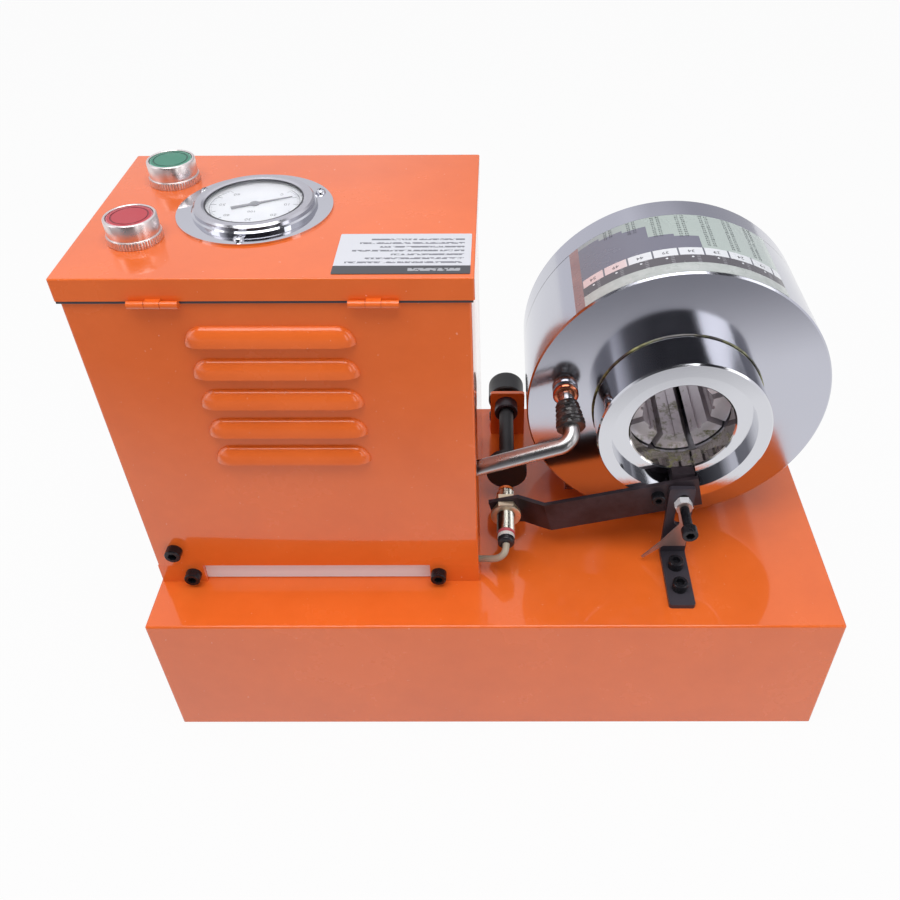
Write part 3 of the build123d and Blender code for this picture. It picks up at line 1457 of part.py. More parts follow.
# Pressure pipe: from the head's port down into the cabinet and round the motor to the valve
pipe_bend = (pipe_port_x + 3.5, -50.0, 203.7)
pipe_lane = cabinet_near + pipe_inset
pipe_route = [
    (pipe_port_x, barrel_near, pipe_port_z),
    (pipe_port_x, barrel_near - 9.0, pipe_port_z),
    pipe_bend,
    (cabinet_right - 8.0, -50.0, 181.0),
    (motor_x + pipe_turn_offset, pipe_lane, 168.0),
    (valve_x, pipe_lane, pipe_level),
    (valve_x, valve_near + 6.0, pipe_level),
]
with BuildPart() as pressure_pipe:
    with BuildLine() as pipe_line:
        FilletPolyline(*pipe_route, radius=[10.0, 9.0, 40.0, 40.0, 7.5])
    with BuildSketch(near_face(pipe_port_x, pipe_port_z, barrel_near)):
        Circle(pipe_radius)
    sweep(path=pipe_line.wires()[0])
pressure_pipe.part.label = "pressure_pipe"
export_step(pressure_pipe.part, "parts/pressure_pipe.step")

# Union: the bright ring that joins the pipe to the head
with BuildPart() as pipe_union:
    with BuildSketch(near_face(pipe_port_x, pipe_port_z, barrel_near)):
        Circle(union_radius)
        Circle(pipe_radius + running_gap, mode=Mode.SUBTRACT)
    extrude(amount=union_length)
    chamfer(pipe_union.faces().sort_by(Axis.Y)[0].edges().sort_by(SortBy.LENGTH)[-1], 1.0)
pipe_union.part.label = "pipe_union"
export_step(pipe_union.part, "parts/pipe_union.step")

# Sleeve: the black wrap round the pipe between the union and the bend
sleeve_corner = Vector(*pipe_route[1])
sleeve_way = (Vector(*pipe_bend) - sleeve_corner).normalized()
with BuildPart() as pipe_sleeve:
    for place, radius in ((sleeve_start, sleeve_upper_radius), (sleeve_start + sleeve_length, sleeve_lower_radius)):
        with BuildSketch(Plane(origin=sleeve_corner + sleeve_way * place, z_dir=sleeve_way)):
            Circle(radius)
    loft()
    with BuildSketch(Plane(origin=sleeve_corner + sleeve_way * sleeve_start, z_dir=sleeve_way)):
        Circle(pipe_radius + running_gap)
    extrude(amount=sleeve_length, mode=Mode.SUBTRACT)
pipe_sleeve.part.label = "pipe_sleeve"
export_step(pipe_sleeve.part, "parts/pipe_sleeve.step")
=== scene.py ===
import bpy
from math import cos, pi, radians, sin
from mathutils import Matrix, Vector


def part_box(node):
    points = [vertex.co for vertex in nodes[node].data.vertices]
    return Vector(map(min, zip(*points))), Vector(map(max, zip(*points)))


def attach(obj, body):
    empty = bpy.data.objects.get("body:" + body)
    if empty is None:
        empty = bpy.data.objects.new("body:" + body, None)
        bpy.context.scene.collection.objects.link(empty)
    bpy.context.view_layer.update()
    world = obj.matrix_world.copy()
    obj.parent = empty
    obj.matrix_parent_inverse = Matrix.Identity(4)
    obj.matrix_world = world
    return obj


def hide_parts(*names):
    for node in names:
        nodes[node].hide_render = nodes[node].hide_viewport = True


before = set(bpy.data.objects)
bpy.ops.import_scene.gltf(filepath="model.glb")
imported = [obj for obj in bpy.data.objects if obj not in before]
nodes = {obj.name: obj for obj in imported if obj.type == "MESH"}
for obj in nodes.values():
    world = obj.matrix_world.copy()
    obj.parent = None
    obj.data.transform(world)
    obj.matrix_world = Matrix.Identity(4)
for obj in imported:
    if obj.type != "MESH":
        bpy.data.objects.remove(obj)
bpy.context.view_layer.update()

# Camera
# The photograph looks down on the tail side of the machine from a little left of its
# middle, with a near normal lens and the frame's centre moved a little sideways.
camera_data = bpy.data.cameras.new("camera")
camera_data.sensor_width = 36.0
camera_data.lens = 35.92
camera_data.shift_x = -0.0524
camera_data.shift_y = 0.0045
camera_data.clip_start = 0.01
camera_data.clip_end = 20.0
camera = bpy.data.objects.new("camera", camera_data)
bpy.context.scene.collection.objects.link(camera)
camera_pitch = 0.7157
camera_yaw = -0.0061
camera_roll = -0.0064
camera.matrix_world = (
    Matrix.Translation((0.00405, -0.46033, 0.55194))
    @ Matrix.Rotation(-camera_yaw, 4, "Z")
    @ Matrix.Rotation(pi / 2 - camera_pitch, 4, "X")
    @ Matrix.Rotation(camera_roll, 4, "Z")
)
bpy.context.scene.camera = camera
bpy.context.scene.view_settings.view_transform = "Standard"

# Sensor cable
# A grey two-wire lead, 4.5 mm thick, leaves the back of the proximity sensor, bends down
# along the cabinet frame and goes into the frame's side.
cable_route = [
    (0.007, -0.064, 0.131), (0.007, -0.069, 0.1295), (0.0035, -0.0695, 0.1245),
    (-0.001, -0.0665, 0.1195), (-0.009, -0.061, 0.114), (-0.0186, -0.059, 0.1115),
]
cable_curve = bpy.data.curves.new("sensor_lead", "CURVE")
cable_curve.dimensions = "3D"
cable_curve.bevel_depth = 1.0
cable_curve.bevel_resolution = 5
cable_curve.resolution_u = 10
cable_curve.use_fill_caps = True
cable_spline = cable_curve.splines.new("NURBS")
cable_spline.points.add(len(cable_route) - 1)
for point, place in zip(cable_spline.points, cable_route):
    point.co = (*place, 1.0)
    point.radius = 0.00225
cable_spline.order_u = 3
cable_spline.use_endpoint_u = True
sensor_lead = bpy.data.objects.new("sensor_lead", cable_curve)
bpy.context.scene.collection.objects.link(sensor_lead)
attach(sensor_lead, "piston")
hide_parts("sensor_cable")


# Room
# A white sweep of paper under soft lamps: bright overhead and to the sides, with the
# unlit end of the room behind the camera, which the chrome shows as its dark parts.
def add_node(tree, kind, **settings):
    """One shader node, with its properties and its input values set by name."""
    node = tree.nodes.new(kind)
    for name, value in settings.items():
        if name.startswith("in_"):
            node.inputs[name[3:].replace("_", " ")].default_value = value
        elif name.startswith("at_"):
            node.inputs[int(name[3:])].default_value = value
        else:
            setattr(node, name, value)
    return node


def mix_colours(tree, factor, first, second):
    """A colour mix of two sockets or colours by a socket or number."""
    mix = add_node(tree, "ShaderNodeMix", data_type="RGBA", clamp_factor=True)
    for slot, value in ((0, factor), (6, first), (7, second)):
        if isinstance(value, bpy.types.NodeSocket):
            tree.links.new(value, mix.inputs[slot])
        elif slot == 0:
            mix.inputs[slot].default_value = value
        else:
            mix.inputs[slot].default_value = (*value, 1.0)
    return mix.outputs[2]


def colour_steps(tree, value, steps, interpolation="LINEAR"):
    """A colour ramp over a value, from (place, colour) steps."""
    ramp = tree.nodes.new("ShaderNodeValToRGB")
    ramp.color_ramp.interpolation = interpolation
    while len(ramp.color_ramp.elements) < len(steps):
        ramp.color_ramp.elements.new(0.5)
    for element, (place, colour) in zip(ramp.color_ramp.elements, steps):
        element.position = place
        element.color = (*colour, 1.0)
    tree.links.new(value, ramp.inputs[0])
    return ramp.outputs[0]


def maths(tree, operation, *values):
    """A math node over sockets or numbers."""
    node = add_node(tree, "ShaderNodeMath", operation=operation)
    for slot, value in enumerate(values):
        if isinstance(value, bpy.types.NodeSocket):
            tree.links.new(value, node.inputs[slot])
        else:
            node.inputs[slot].default_value = value
    return node.outputs[0]


def below(tree, value, limit):
    """One where a value lies under a limit, and nought elsewhere."""
    return maths(tree, "LESS_THAN", value, limit)


def product(tree, first, *others):
    """Sockets or numbers multiplied together."""
    for other in others:
        first = maths(tree, "MULTIPLY", first, other)
    return first


world = bpy.data.worlds.new("room")
bpy.context.scene.world = world
world.use_nodes = True
room = world.node_tree
room.nodes.clear()
direction = add_node(room, "ShaderNodeTexCoord")
dark_end = Vector((0.12, -0.76, 0.64)).normalized()
toward_dark = add_node(room, "ShaderNodeVectorMath", operation="DOT_PRODUCT", at_1=dark_end)
room.links.new(direction.outputs["Generated"], toward_dark.inputs[0])
room_grey = colour_steps(
    room,
    toward_dark.outputs["Value"],
    [
        (0.0, (0.92, 0.92, 0.96)),
        (0.54, (0.84, 0.84, 0.88)),
        (0.7, (0.12, 0.12, 0.13)),
        (0.92, (0.02, 0.02, 0.024)),
    ],
)
room_axes = add_node(room, "ShaderNodeSeparateXYZ")
room.links.new(direction.outputs["Generated"], room_axes.inputs[0])
far_wall = colour_steps(
    room,
    room_axes.outputs["Z"],
    [
        (0.0, (0.5, 0.5, 0.53)),
        (0.4, (0.42, 0.42, 0.46)),
        (0.5, (0.72, 0.72, 0.76)),
        (0.62, (0.95, 0.95, 1.0)),
    ],
)
toward_wall = product(room, room_axes.outputs["Y"], 4.0)
wall_left = maths(
    room, "MINIMUM", maths(room, "MAXIMUM", product(room, room_axes.outputs["X"], -4.0), 0.0), 0.6
)
far_wall = mix_colours(room, wall_left, far_wall, (0.95, 0.95, 1.0))
room_grey = mix_colours(room, toward_wall, room_grey, far_wall)
path = add_node(room, "ShaderNodeLightPath")
seen_directly = maths(room, "MAXIMUM", path.outputs["Is Camera Ray"], path.outputs["Is Transmission Ray"])
seen_colour = mix_colours(room, seen_directly, room_grey, (1.0, 1.0, 1.0))
seen_or_mirrored = maths(room, "MAXIMUM", seen_directly, path.outputs["Is Glossy Ray"])
room_colour = mix_colours(room, seen_or_mirrored, (0.46, 0.46, 0.48), seen_colour)
background = add_node(room, "ShaderNodeBackground")
room.links.new(room_colour, background.inputs["Color"])
room_output = add_node(room, "ShaderNodeOutputWorld")
room.links.new(background.outputs[0], room_output.inputs[0])


def soft_lamp(name, place, target, width, height, watts):
    """A rectangular soft lamp that faces a point of the machine."""
    data = bpy.data.lights.new(name, "AREA")
    data.shape = "RECTANGLE"
    data.size = width
    data.size_y = height
    data.energy = watts
    lamp = bpy.data.objects.new(name, data)
    bpy.context.scene.collection.objects.link(lamp)
    way = Vector(target) - Vector(place)
    lamp.matrix_world = Matrix.Translation(place) @ way.to_track_quat("-Z", "Y").to_matrix().to_4x4()
    return lamp


soft_lamp("overhead_lamp", (-0.05, -0.34, 1.5), (0.0, 0.0, 0.15), 1.2, 0.9, 13.0)
soft_lamp("left_lamp", (-1.5, -0.5, 1.0), (0.0, 0.0, 0.15), 0.5, 1.3, 2.4)
soft_lamp("right_lamp", (1.3, -0.6, 0.9), (0.1, 0.0, 0.2), 0.35, 1.2, 2.4)
soft_lamp("strip_lamp", (0.87, -1.25, 0.58), (0.115, 0.0, 0.2), 0.34, 0.8, 1.5)

bpy.ops.mesh.primitive_plane_add(size=8.0, location=(0, 0, 0))
floor = bpy.context.object
floor.name = "floor"
floor_paper = bpy.data.materials.new("floor_paper")
floor_paper.use_nodes = True
paper = floor_paper.node_tree
paper_shader = paper.nodes["Principled BSDF"]
paper_shader.inputs["Base Color"].default_value = (0.62, 0.62, 0.64, 1.0)
paper_shader.inputs["Roughness"].default_value = 0.9
paper_shader.inputs["Specular IOR Level"].default_value = 0.1
paper_path = add_node(paper, "ShaderNodeLightPath")
paper_white = add_node(paper, "ShaderNodeEmission", in_Strength=1.0)
paper_axes = add_node(paper, "ShaderNodeSeparateXYZ")
paper.links.new(add_node(paper, "ShaderNodeTexCoord").outputs["Object"], paper_axes.inputs[0])
paper_right = product(paper, maths(paper, "MAXIMUM", paper_axes.outputs["X"], 0.0), -0.28)
paper_reach = maths(paper, "SUBTRACT", paper_right, paper_axes.outputs["Y"])
paper_mirrored = colour_steps(
    paper,
    paper_reach,
    [
        (0.0, (1.0, 1.0, 1.0)),
        (0.27, (0.96, 0.96, 0.97)),
        (0.37, (0.45, 0.45, 0.47)),
        (0.44, (0.22, 0.22, 0.24)),
    ],
)
paper_mix = add_node(paper, "ShaderNodeMixShader")
paper_seen = maths(
    paper, "MAXIMUM", paper_path.outputs["Is Camera Ray"], paper_path.outputs["Is Transmission Ray"]
)
paper.links.new(
    mix_colours(paper, paper_seen, paper_mirrored, (1.0, 1.0, 1.0)), paper_white.inputs["Color"]
)
paper_share = maths(
    paper,
    "MAXIMUM",
    product(paper, paper_seen, 0.95),
    product(paper, paper_path.outputs["Is Glossy Ray"], 0.9),
)
paper.links.new(paper_share, paper_mix.inputs[0])
paper.links.new(paper_shader.outputs[0], paper_mix.inputs[1])
paper.links.new(paper_white.outputs[0], paper_mix.inputs[2])
paper.links.new(paper_mix.outputs[0], paper.nodes["Material Output"].inputs["Surface"])
floor.data.materials.append(floor_paper)


# Painted sheet steel
# The tank, the cabinet, its lid and the hinges are folded from mild steel sheet and
# sprayed with glossy orange enamel, which has a faint orange-peel skin and dust specks.
def linear(red, green, blue):
    """A screen colour of 0 to 255 as the linear colour that shaders use."""
    found = []
    for value in (red, green, blue):
        share = value / 255
        found.append(share / 12.92 if share <= 0.04045 else ((share + 0.055) / 1.055) ** 2.4)
    return tuple(found)


def effect_group(name, inputs, outputs):
    """An empty shader node group with named inputs and outputs."""
    group = bpy.data.node_groups.new(name, "ShaderNodeTree")
    for label, kind, value in inputs:
        socket = group.interface.new_socket(label, in_out="INPUT", socket_type=kind)
        socket.default_value = value
    for label, kind in outputs:
        group.interface.new_socket(label, in_out="OUTPUT", socket_type=kind)
    return group, group.nodes.new("NodeGroupInput"), group.nodes.new("NodeGroupOutput")


def noise(tree, scale, detail=3.0, roughness=0.5, vector=None):
    """A noise texture on the object's own coordinates, or on a given vector."""
    texture = add_node(tree, "ShaderNodeTexNoise", in_Detail=detail, in_Roughness=roughness)
    if isinstance(scale, bpy.types.NodeSocket):
        tree.links.new(scale, texture.inputs["Scale"])
    else:
        texture.inputs["Scale"].default_value = scale
    if vector is None:
        vector = add_node(tree, "ShaderNodeTexCoord").outputs["Object"]
    tree.links.new(vector, texture.inputs["Vector"])
    return texture.outputs["Fac"]


def distance(tree, across, along):
    """How far a point lies from an axis, from its two offsets."""
    squares = [maths(tree, "POWER", offset, 2.0) for offset in (across, along)]
    return maths(tree, "SQRT", maths(tree, "ADD", *squares))


def object_axes(tree):
    """The X, Y and Z of a point of the object, as three sockets in metres."""
    split = add_node(tree, "ShaderNodeSeparateXYZ")
    tree.links.new(add_node(tree, "ShaderNodeTexCoord").outputs["Object"], split.inputs[0])
    return split.outputs[0], split.outputs[1], split.outputs[2]


def between(tree, value, low, high):
    """One where a value lies between two limits, and nought elsewhere."""
    return product(tree, maths(tree, "GREATER_THAN", value, low), below(tree, value, high))


skin_group, skin_in, skin_out = effect_group(
    "surface_skin",
    [("Grain Size", "NodeSocketFloat", 400.0), ("Grain Depth", "NodeSocketFloat", 0.1)],
    [("Normal", "NodeSocketVector")],
)
skin_noise = noise(skin_group, skin_in.outputs["Grain Size"], 4.0, 0.55)
skin_bump = add_node(skin_group, "ShaderNodeBump", in_Distance=0.0004)
skin_group.links.new(skin_noise, skin_bump.inputs["Height"])
skin_group.links.new(skin_in.outputs["Grain Depth"], skin_bump.inputs["Strength"])
skin_group.links.new(skin_bump.outputs[0], skin_out.inputs["Normal"])

smear_group, smear_in, smear_out = effect_group(
    "handling_smears",
    [
        ("Low", "NodeSocketFloat", 0.1),
        ("High", "NodeSocketFloat", 0.3),
        ("Size", "NodeSocketFloat", 14.0),
    ],
    [("Roughness", "NodeSocketFloat"), ("Mask", "NodeSocketFloat")],
)
smear_noise = noise(smear_group, smear_in.outputs["Size"], 6.0, 0.62)
smear_range = add_node(smear_group, "ShaderNodeMapRange", at_1=0.35, at_2=0.75)
smear_group.links.new(smear_noise, smear_range.inputs["Value"])
smear_group.links.new(smear_in.outputs["Low"], smear_range.inputs["To Min"])
smear_group.links.new(smear_in.outputs["High"], smear_range.inputs["To Max"])
smear_group.links.new(smear_range.outputs["Result"], smear_out.inputs["Roughness"])
smear_group.links.new(smear_noise, smear_out.inputs["Mask"])


def group_node(tree, group, **values):
    """A group placed in a material's tree with its own input values."""
    node = tree.nodes.new("ShaderNodeGroup")
    node.node_tree = group
    for name, value in values.items():
        node.inputs[name.replace("_", " ")].default_value = value
    return node


def new_finish(name, colour, metallic=0.0, **settings):
    """A material with its Principled shader and the constant values set on it."""
    finish = bpy.data.materials.new(name)
    finish.use_nodes = True
    shader = finish.node_tree.nodes["Principled BSDF"]
    shader.inputs["Base Color"].default_value = (*colour, 1.0)
    shader.inputs["Metallic"].default_value = metallic
    for label, value in settings.items():
        shader.inputs[label.replace("_", " ")].default_value = value
    return finish, finish.node_tree, shader


def give_skin(tree, shader, size, depth):
    """Connects the grain of a surface to its shader's normal."""
    skin = group_node(tree, skin_group, Grain_Size=size, Grain_Depth=depth)
    tree.links.new(skin.outputs["Normal"], shader.inputs["Normal"])


def give_smears(tree, shader, low, high, size=14.0):
    """Connects uneven roughness to a shader."""
    smears = group_node(tree, smear_group, Low=low, High=high, Size=size)
    tree.links.new(smears.outputs["Roughness"], shader.inputs["Roughness"])
    return smears.outputs["Mask"]


def patches(tree, scale, detail, roughness, low, high):
    """A mask of soft patches, from a noise spread between two of its values."""
    spread = add_node(tree, "ShaderNodeMapRange", at_1=low, at_2=high)
    tree.links.new(noise(tree, scale, detail, roughness), spread.inputs["Value"])
    return spread.outputs["Result"]


def paint(tree, shader, colour):
    """Connects a colour that changes over the surface to its shader."""
    tree.links.new(colour, shader.inputs["Base Color"])


def dress(names, finish):
    """Puts a finish on CAD nodes."""
    for name in names:
        for slot in nodes[name].material_slots:
            slot.material = finish


def plain_finish(name, colour, smears, skin=None, metallic=0.0, on=()):
    """A finish of one colour with smears and grain, put on the nodes that wear it."""
    finish, tree, shader = new_finish(name, colour, metallic=metallic)
    give_smears(tree, shader, *smears)
    if skin:
        give_skin(tree, shader, *skin)
    dress(on, finish)
    return finish


enamel_colour = linear(238, 110, 42)
enamel_shade = linear(229, 103, 37)
dust_colour = linear(250, 190, 160)
orange_enamel, tree, shader = new_finish(
    "orange_enamel",
    enamel_colour,
    Coat_Weight=0.95,
    Coat_Roughness=0.04,
    Coat_IOR=1.5,
    Specular_IOR_Level=0.2,
)
mask = give_smears(tree, shader, 0.2, 0.32)
tone = colour_steps(tree, mask, [(0.3, enamel_shade), (0.6, enamel_colour)])
dust = noise(tree, 420.0, 2.0, 0.7)
dust_share = product(tree, maths(tree, "GREATER_THAN", dust, 0.745), 0.5)
paint(tree, shader, mix_colours(tree, dust_share, tone, dust_colour))
give_skin(tree, shader, 260.0, 0.035)
dress(["base_shell", "base_floor", "cabinet_frame", "lid", "dial_bracket"], orange_enamel)
dress(["hinge_lower_knuckles", "hinge_upper_knuckles", "hinge_pins"], orange_enamel)

# Chromed steel
# The piston with its tail and the trim of the gauge and the buttons are turned, polished
# and hard chromed to a near mirror, with faint wiping marks.
chrome = plain_finish(
    "hard_chrome",
    linear(214, 215, 221),
    (0.03, 0.09, 9.0),
    (900.0, 0.01),
    metallic=1.0,
    on=["gauge_case", "gauge_screws", "green_button_collar", "red_button_collar"],
)
plain_finish(
    "satin_chrome",
    linear(208, 207, 213),
    (0.12, 0.24, 30.0),
    (900.0, 0.02),
    metallic=1.0,
    on=["gauge_bezel"],
)

# Chromed head barrel
# The barrel and its front cap are ground and chromed with less polish, so that they
# mirror their surroundings softly. Grease has crept round the joint with the tail.
head_x = 0.1151
head_z = 0.2028
ground_chrome, tree, shader = new_finish("ground_chrome", linear(198, 199, 209), metallic=1.0)
barrel_y = object_axes(tree)[1]
seam_begin = 0.0576
seam_end = 0.0583
seam = between(tree, barrel_y, seam_begin, seam_end)
paint(tree, shader, mix_colours(tree, seam, linear(198, 199, 209), linear(52, 50, 56)))
give_smears(tree, shader, 0.1, 0.2, 7.0)
give_skin(tree, shader, 1100.0, 0.02)
dress(["head_barrel", "head_front_cap"], ground_chrome)

# Tail piston
# The polished tail carries the hose mouth. Its bore is painted a darker grey as painted shade in the
# recess, with a greenish film of grease low in the passage.
tail_chrome, tree, shader = new_finish("tail_chrome", linear(216, 217, 222), metallic=1.0)
tail_x, _, tail_z = object_axes(tree)
from_axis_x = maths(tree, "SUBTRACT", tail_x, head_x)
from_axis_z = maths(tree, "SUBTRACT", tail_z, head_z)
tail_radius = distance(tree, from_axis_x, from_axis_z)
bore_radius = 0.0326
grease_level = -0.008
in_bore = below(tree, tail_radius, bore_radius)
low_in_bore = below(tree, from_axis_z, grease_level)
grease_patches = patches(tree, 190.0, 5.0, 0.65, 0.48, 0.66)
grease_share = product(tree, in_bore, low_in_bore, grease_patches)
# Inside the bore the chrome is painted darker: painted shade in the recess.
tail_colour_with_bore_shade = mix_colours(tree, in_bore, linear(216, 217, 222), linear(176, 170, 166))
paint(tree, shader, mix_colours(tree, grease_share, tail_colour_with_bore_shade, linear(122, 120, 74)))
tree.links.new(maths(tree, "SUBTRACT", 1.0, product(tree, grease_share, 0.8)), shader.inputs["Metallic"])
give_smears(tree, shader, 0.05, 0.13, 9.0)
turning = add_node(tree, "ShaderNodeTexNoise", noise_dimensions="1D", in_Scale=2600.0, in_Detail=3.0)
tree.links.new(tail_radius, turning.inputs["W"])
turning_bump = add_node(tree, "ShaderNodeBump", in_Strength=0.05, in_Distance=0.0002)
tree.links.new(turning.outputs["Fac"], turning_bump.inputs["Height"])
tree.links.new(turning_bump.outputs[0], shader.inputs["Normal"])
dress(["piston"], tail_chrome)


# Grease ring
# A thin uneven bead of green-yellow grease in the corner between the tail and the face of
# the barrel, modelled as a turned bead whose points are pushed about a little.
def settle():
    """Puts the chosen object's place, turn and size into its mesh."""
    bpy.ops.object.transform_apply(location=True, rotation=True, scale=True)


def deselect():
    """Leaves no object selected."""
    bpy.ops.object.select_all(action="DESELECT")


def choose(piece):
    """Selects one object alone and makes it the active one."""
    deselect()
    piece.select_set(True)
    bpy.context.view_layer.objects.active = piece


def close_edit():
    """Leaves edit mode."""
    bpy.ops.object.mode_set(mode="OBJECT")


def shape_all(operator, **settings):
    """Runs one edit mode operator on the whole of the chosen mesh."""
    bpy.ops.object.mode_set(mode="EDIT")
    bpy.ops.mesh.select_all(action="SELECT")
    operator(**settings)
    close_edit()


def turned(name, profile, centre, axis, side=(1, 0, 0), steps=48, start=0.0, angle=2 * pi):
    """A piece spun about an axis from a profile of (radius, height) points."""
    centre = Vector(centre)
    axis = Vector(axis).normalized()
    side = Matrix.Rotation(start, 3, axis) @ Vector(side).normalized()
    places = [centre + side * radius + axis * height for radius, height in profile]
    deselect()
    bpy.ops.mesh.primitive_plane_add(size=0.001, location=places[0])
    piece = bpy.context.object
    piece.name = name
    piece.data.name = name
    bpy.ops.object.mode_set(mode="EDIT")
    bpy.ops.mesh.select_all(action="SELECT")
    bpy.ops.mesh.merge(type="CENTER")
    for before, after in zip(places, places[1:]):
        bpy.ops.mesh.extrude_vertices_move(TRANSFORM_OT_translate={"value": after - before})
    bpy.ops.mesh.select_all(action="SELECT")
    bpy.ops.mesh.spin(steps=steps, angle=angle, center=centre, axis=axis)
    bpy.ops.mesh.select_all(action="SELECT")
    bpy.ops.mesh.remove_doubles(threshold=0.000002)
    bpy.ops.mesh.normals_make_consistent(inside=False)
    close_edit()
    settle()
    return piece


def hand_over(piece, body, finish, smooth_angle=35.0):
    """Gives a finished piece its material and its body, and smooths it."""
    choose(piece)
    bpy.ops.object.shade_smooth_by_angle(angle=radians(smooth_angle))
    piece.data.materials.clear()
    piece.data.materials.append(finish)
    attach(piece, body)
    return piece


def joined(name, pieces):
    """Several pieces joined to one."""
    deselect()
    for piece in pieces:
        piece.select_set(True)
    bpy.context.view_layer.objects.active = pieces[0]
    bpy.ops.object.join()
    piece = bpy.context.object
    piece.name = name
    piece.data.name = name
    return piece


tail_centre = (head_x, -0.013, head_z)
grease_ring = turned(
    "grease_ring",
    [
        (0.0529, 0.0002),
        (0.0529, -0.0004),
        (0.0533, -0.0009),
        (0.0538, -0.0005),
        (0.054, 0.0002),
        (0.0529, 0.0002),
    ],
    tail_centre,
    (0, 1, 0),
    steps=140,
)
shape_all(bpy.ops.transform.vertex_random, offset=0.00018, seed=4)
grease, tree, shader = new_finish("grease", linear(120, 124, 60), Coat_Weight=0.6, Roughness=0.3)
grease_tone = colour_steps(
    tree, noise(tree, 90.0, 4.0, 0.6), [
        (0.44, linear(54, 50, 48)), (0.56, linear(98, 98, 62)), (0.68, linear(158, 158, 108))
    ]
)
paint(tree, shader, grease_tone)
hand_over(grease_ring, "piston", grease, 60.0)

# Cabinet cover
# A wrap of 1.5 mm sheet with bent corners and a lip round its open top, cut for the pipe and
# behind the louvres. Each louvre is a pressed hood with rounded ends, copied five times.
cover_low, cover_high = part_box("cabinet_cover")
cover_left, _, cover_bottom = cover_low
cover_right, cover_far, cover_top = cover_high
cover_near = -cover_far
cover_sheet = 0.0015
bend_size = 0.0014
lip_width = 0.009


def block(name, middle, size, turn=0.0):
    """A rectangular block at its size and place, to be shaped further."""
    deselect()
    bpy.ops.mesh.primitive_cube_add(size=1.0, location=middle, rotation=(0, 0, turn))
    piece = bpy.context.object
    piece.name = name
    piece.dimensions = size
    settle()
    return piece


def apply_modifier(piece, kind, **settings):
    """Gives a piece one modifier with its settings, and applies it."""
    bpy.context.view_layer.objects.active = piece
    modifier = piece.modifiers.new("shaping", kind)
    for label, value in settings.items():
        setattr(modifier, label, value)
    bpy.ops.object.modifier_apply(modifier=modifier.name)


def copied(piece, place):
    """A copy of a piece with its own mesh, set at a place."""
    copy = piece.copy()
    copy.data = piece.data.copy()
    bpy.context.scene.collection.objects.link(copy)
    copy.matrix_world = place
    choose(copy)
    settle()
    return copy


def pick(piece, kind, wanted):
    """Selects the parts of a mesh that a test wants, and opens it for editing."""
    choose(piece)
    bpy.ops.object.mode_set(mode="EDIT")
    bpy.ops.mesh.select_mode(type=kind)
    bpy.ops.mesh.select_all(action="DESELECT")
    close_edit()
    parts = {"VERT": piece.data.vertices, "EDGE": piece.data.edges, "FACE": piece.data.polygons}[kind]
    for part in parts:
        part.select = wanted(part)
    bpy.ops.object.mode_set(mode="EDIT")


cover = block(
    "louvred_cover",
    ((cover_left + cover_right) / 2, 0, (cover_bottom + cover_top) / 2),
    (cover_right - cover_left, cover_far - cover_near, cover_top - cover_bottom),
)


def is_upright(edge):
    """Whether an edge of the cover runs up its full height."""
    low, high = (cover.data.vertices[index].co.z for index in edge.vertices)
    return abs(high - low) > 0.1


pick(cover, "FACE", lambda face: face.normal.z < -0.9)
bpy.ops.mesh.delete(type="FACE")
close_edit()
pick(cover, "EDGE", is_upright)
bpy.ops.mesh.bevel(offset=bend_size, segments=4)
close_edit()
pick(cover, "FACE", lambda face: face.normal.z > 0.9)
bpy.ops.mesh.inset(thickness=lip_width)
bpy.ops.mesh.delete(type="FACE")
close_edit()
apply_modifier(cover, "SOLIDIFY", thickness=cover_sheet, offset=-1.0)
louvre_middle = -0.115
louvre_bottoms = [0.211 + 0.020 * step for step in range(5)]
opening_size = (0.076, 0.006, 0.0070)
pipe_slot_middle = -0.050
pipe_slot_width = 0.028
pipe_slot_top = 0.191
cutters = []
for bottom in louvre_bottoms:
    cutters.append(block("opening", (louvre_middle, cover_near, bottom + 0.0042), opening_size))
slot_place = (cover_right, pipe_slot_middle, (cover_bottom + pipe_slot_top) / 2 - 0.002)
cutters.append(block("opening", slot_place, (0.006, pipe_slot_width, pipe_slot_top - cover_bottom + 0.004)))
cutter = joined("cover_cutter", cutters)
apply_modifier(cover, "BOOLEAN", object=cutter, operation="DIFFERENCE")
bpy.data.objects.remove(cutter, do_unlink=True)
hood_end = 0.010
hood_depth = 0.0055
hood_height = 0.0105
hood_half = 0.0445
hood_sheet = 0.0009
deselect()
bpy.ops.mesh.primitive_uv_sphere_add(segments=48, ring_count=24, radius=1.0, location=(0, 0, 0))
hood = bpy.context.object
hood.scale = (hood_end, hood_depth, hood_height)
settle()
for normal in ((1, 0, 0), (0, -1, 0), (0, 0, 1)):
    shape_all(bpy.ops.mesh.bisect, plane_co=(0, 0, 0), plane_no=normal, clear_inner=True)
pick(hood, "VERT", lambda vertex: abs(vertex.co.x) < 0.00001)
bpy.ops.mesh.extrude_region_move(TRANSFORM_OT_translate={"value": (hood_end - hood_half, 0, 0)})
bpy.ops.mesh.select_all(action="SELECT")
bpy.ops.transform.translate(value=(hood_half - hood_end, 0, 0))
bpy.ops.mesh.remove_doubles(threshold=0.00001)
close_edit()
apply_modifier(hood, "MIRROR")
shape_all(bpy.ops.mesh.normals_make_consistent, inside=False)
apply_modifier(hood, "SOLIDIFY", thickness=hood_sheet, offset=-1.0)
hoods = [cover]
for bottom in louvre_bottoms:
    hoods.append(copied(hood, Matrix.Translation((louvre_middle, cover_near + 0.0002, bottom))))
bpy.data.objects.remove(hood, do_unlink=True)
cover = joined("louvred_cover", hoods)
hand_over(cover, "machine", orange_enamel)
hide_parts("cabinet_cover")

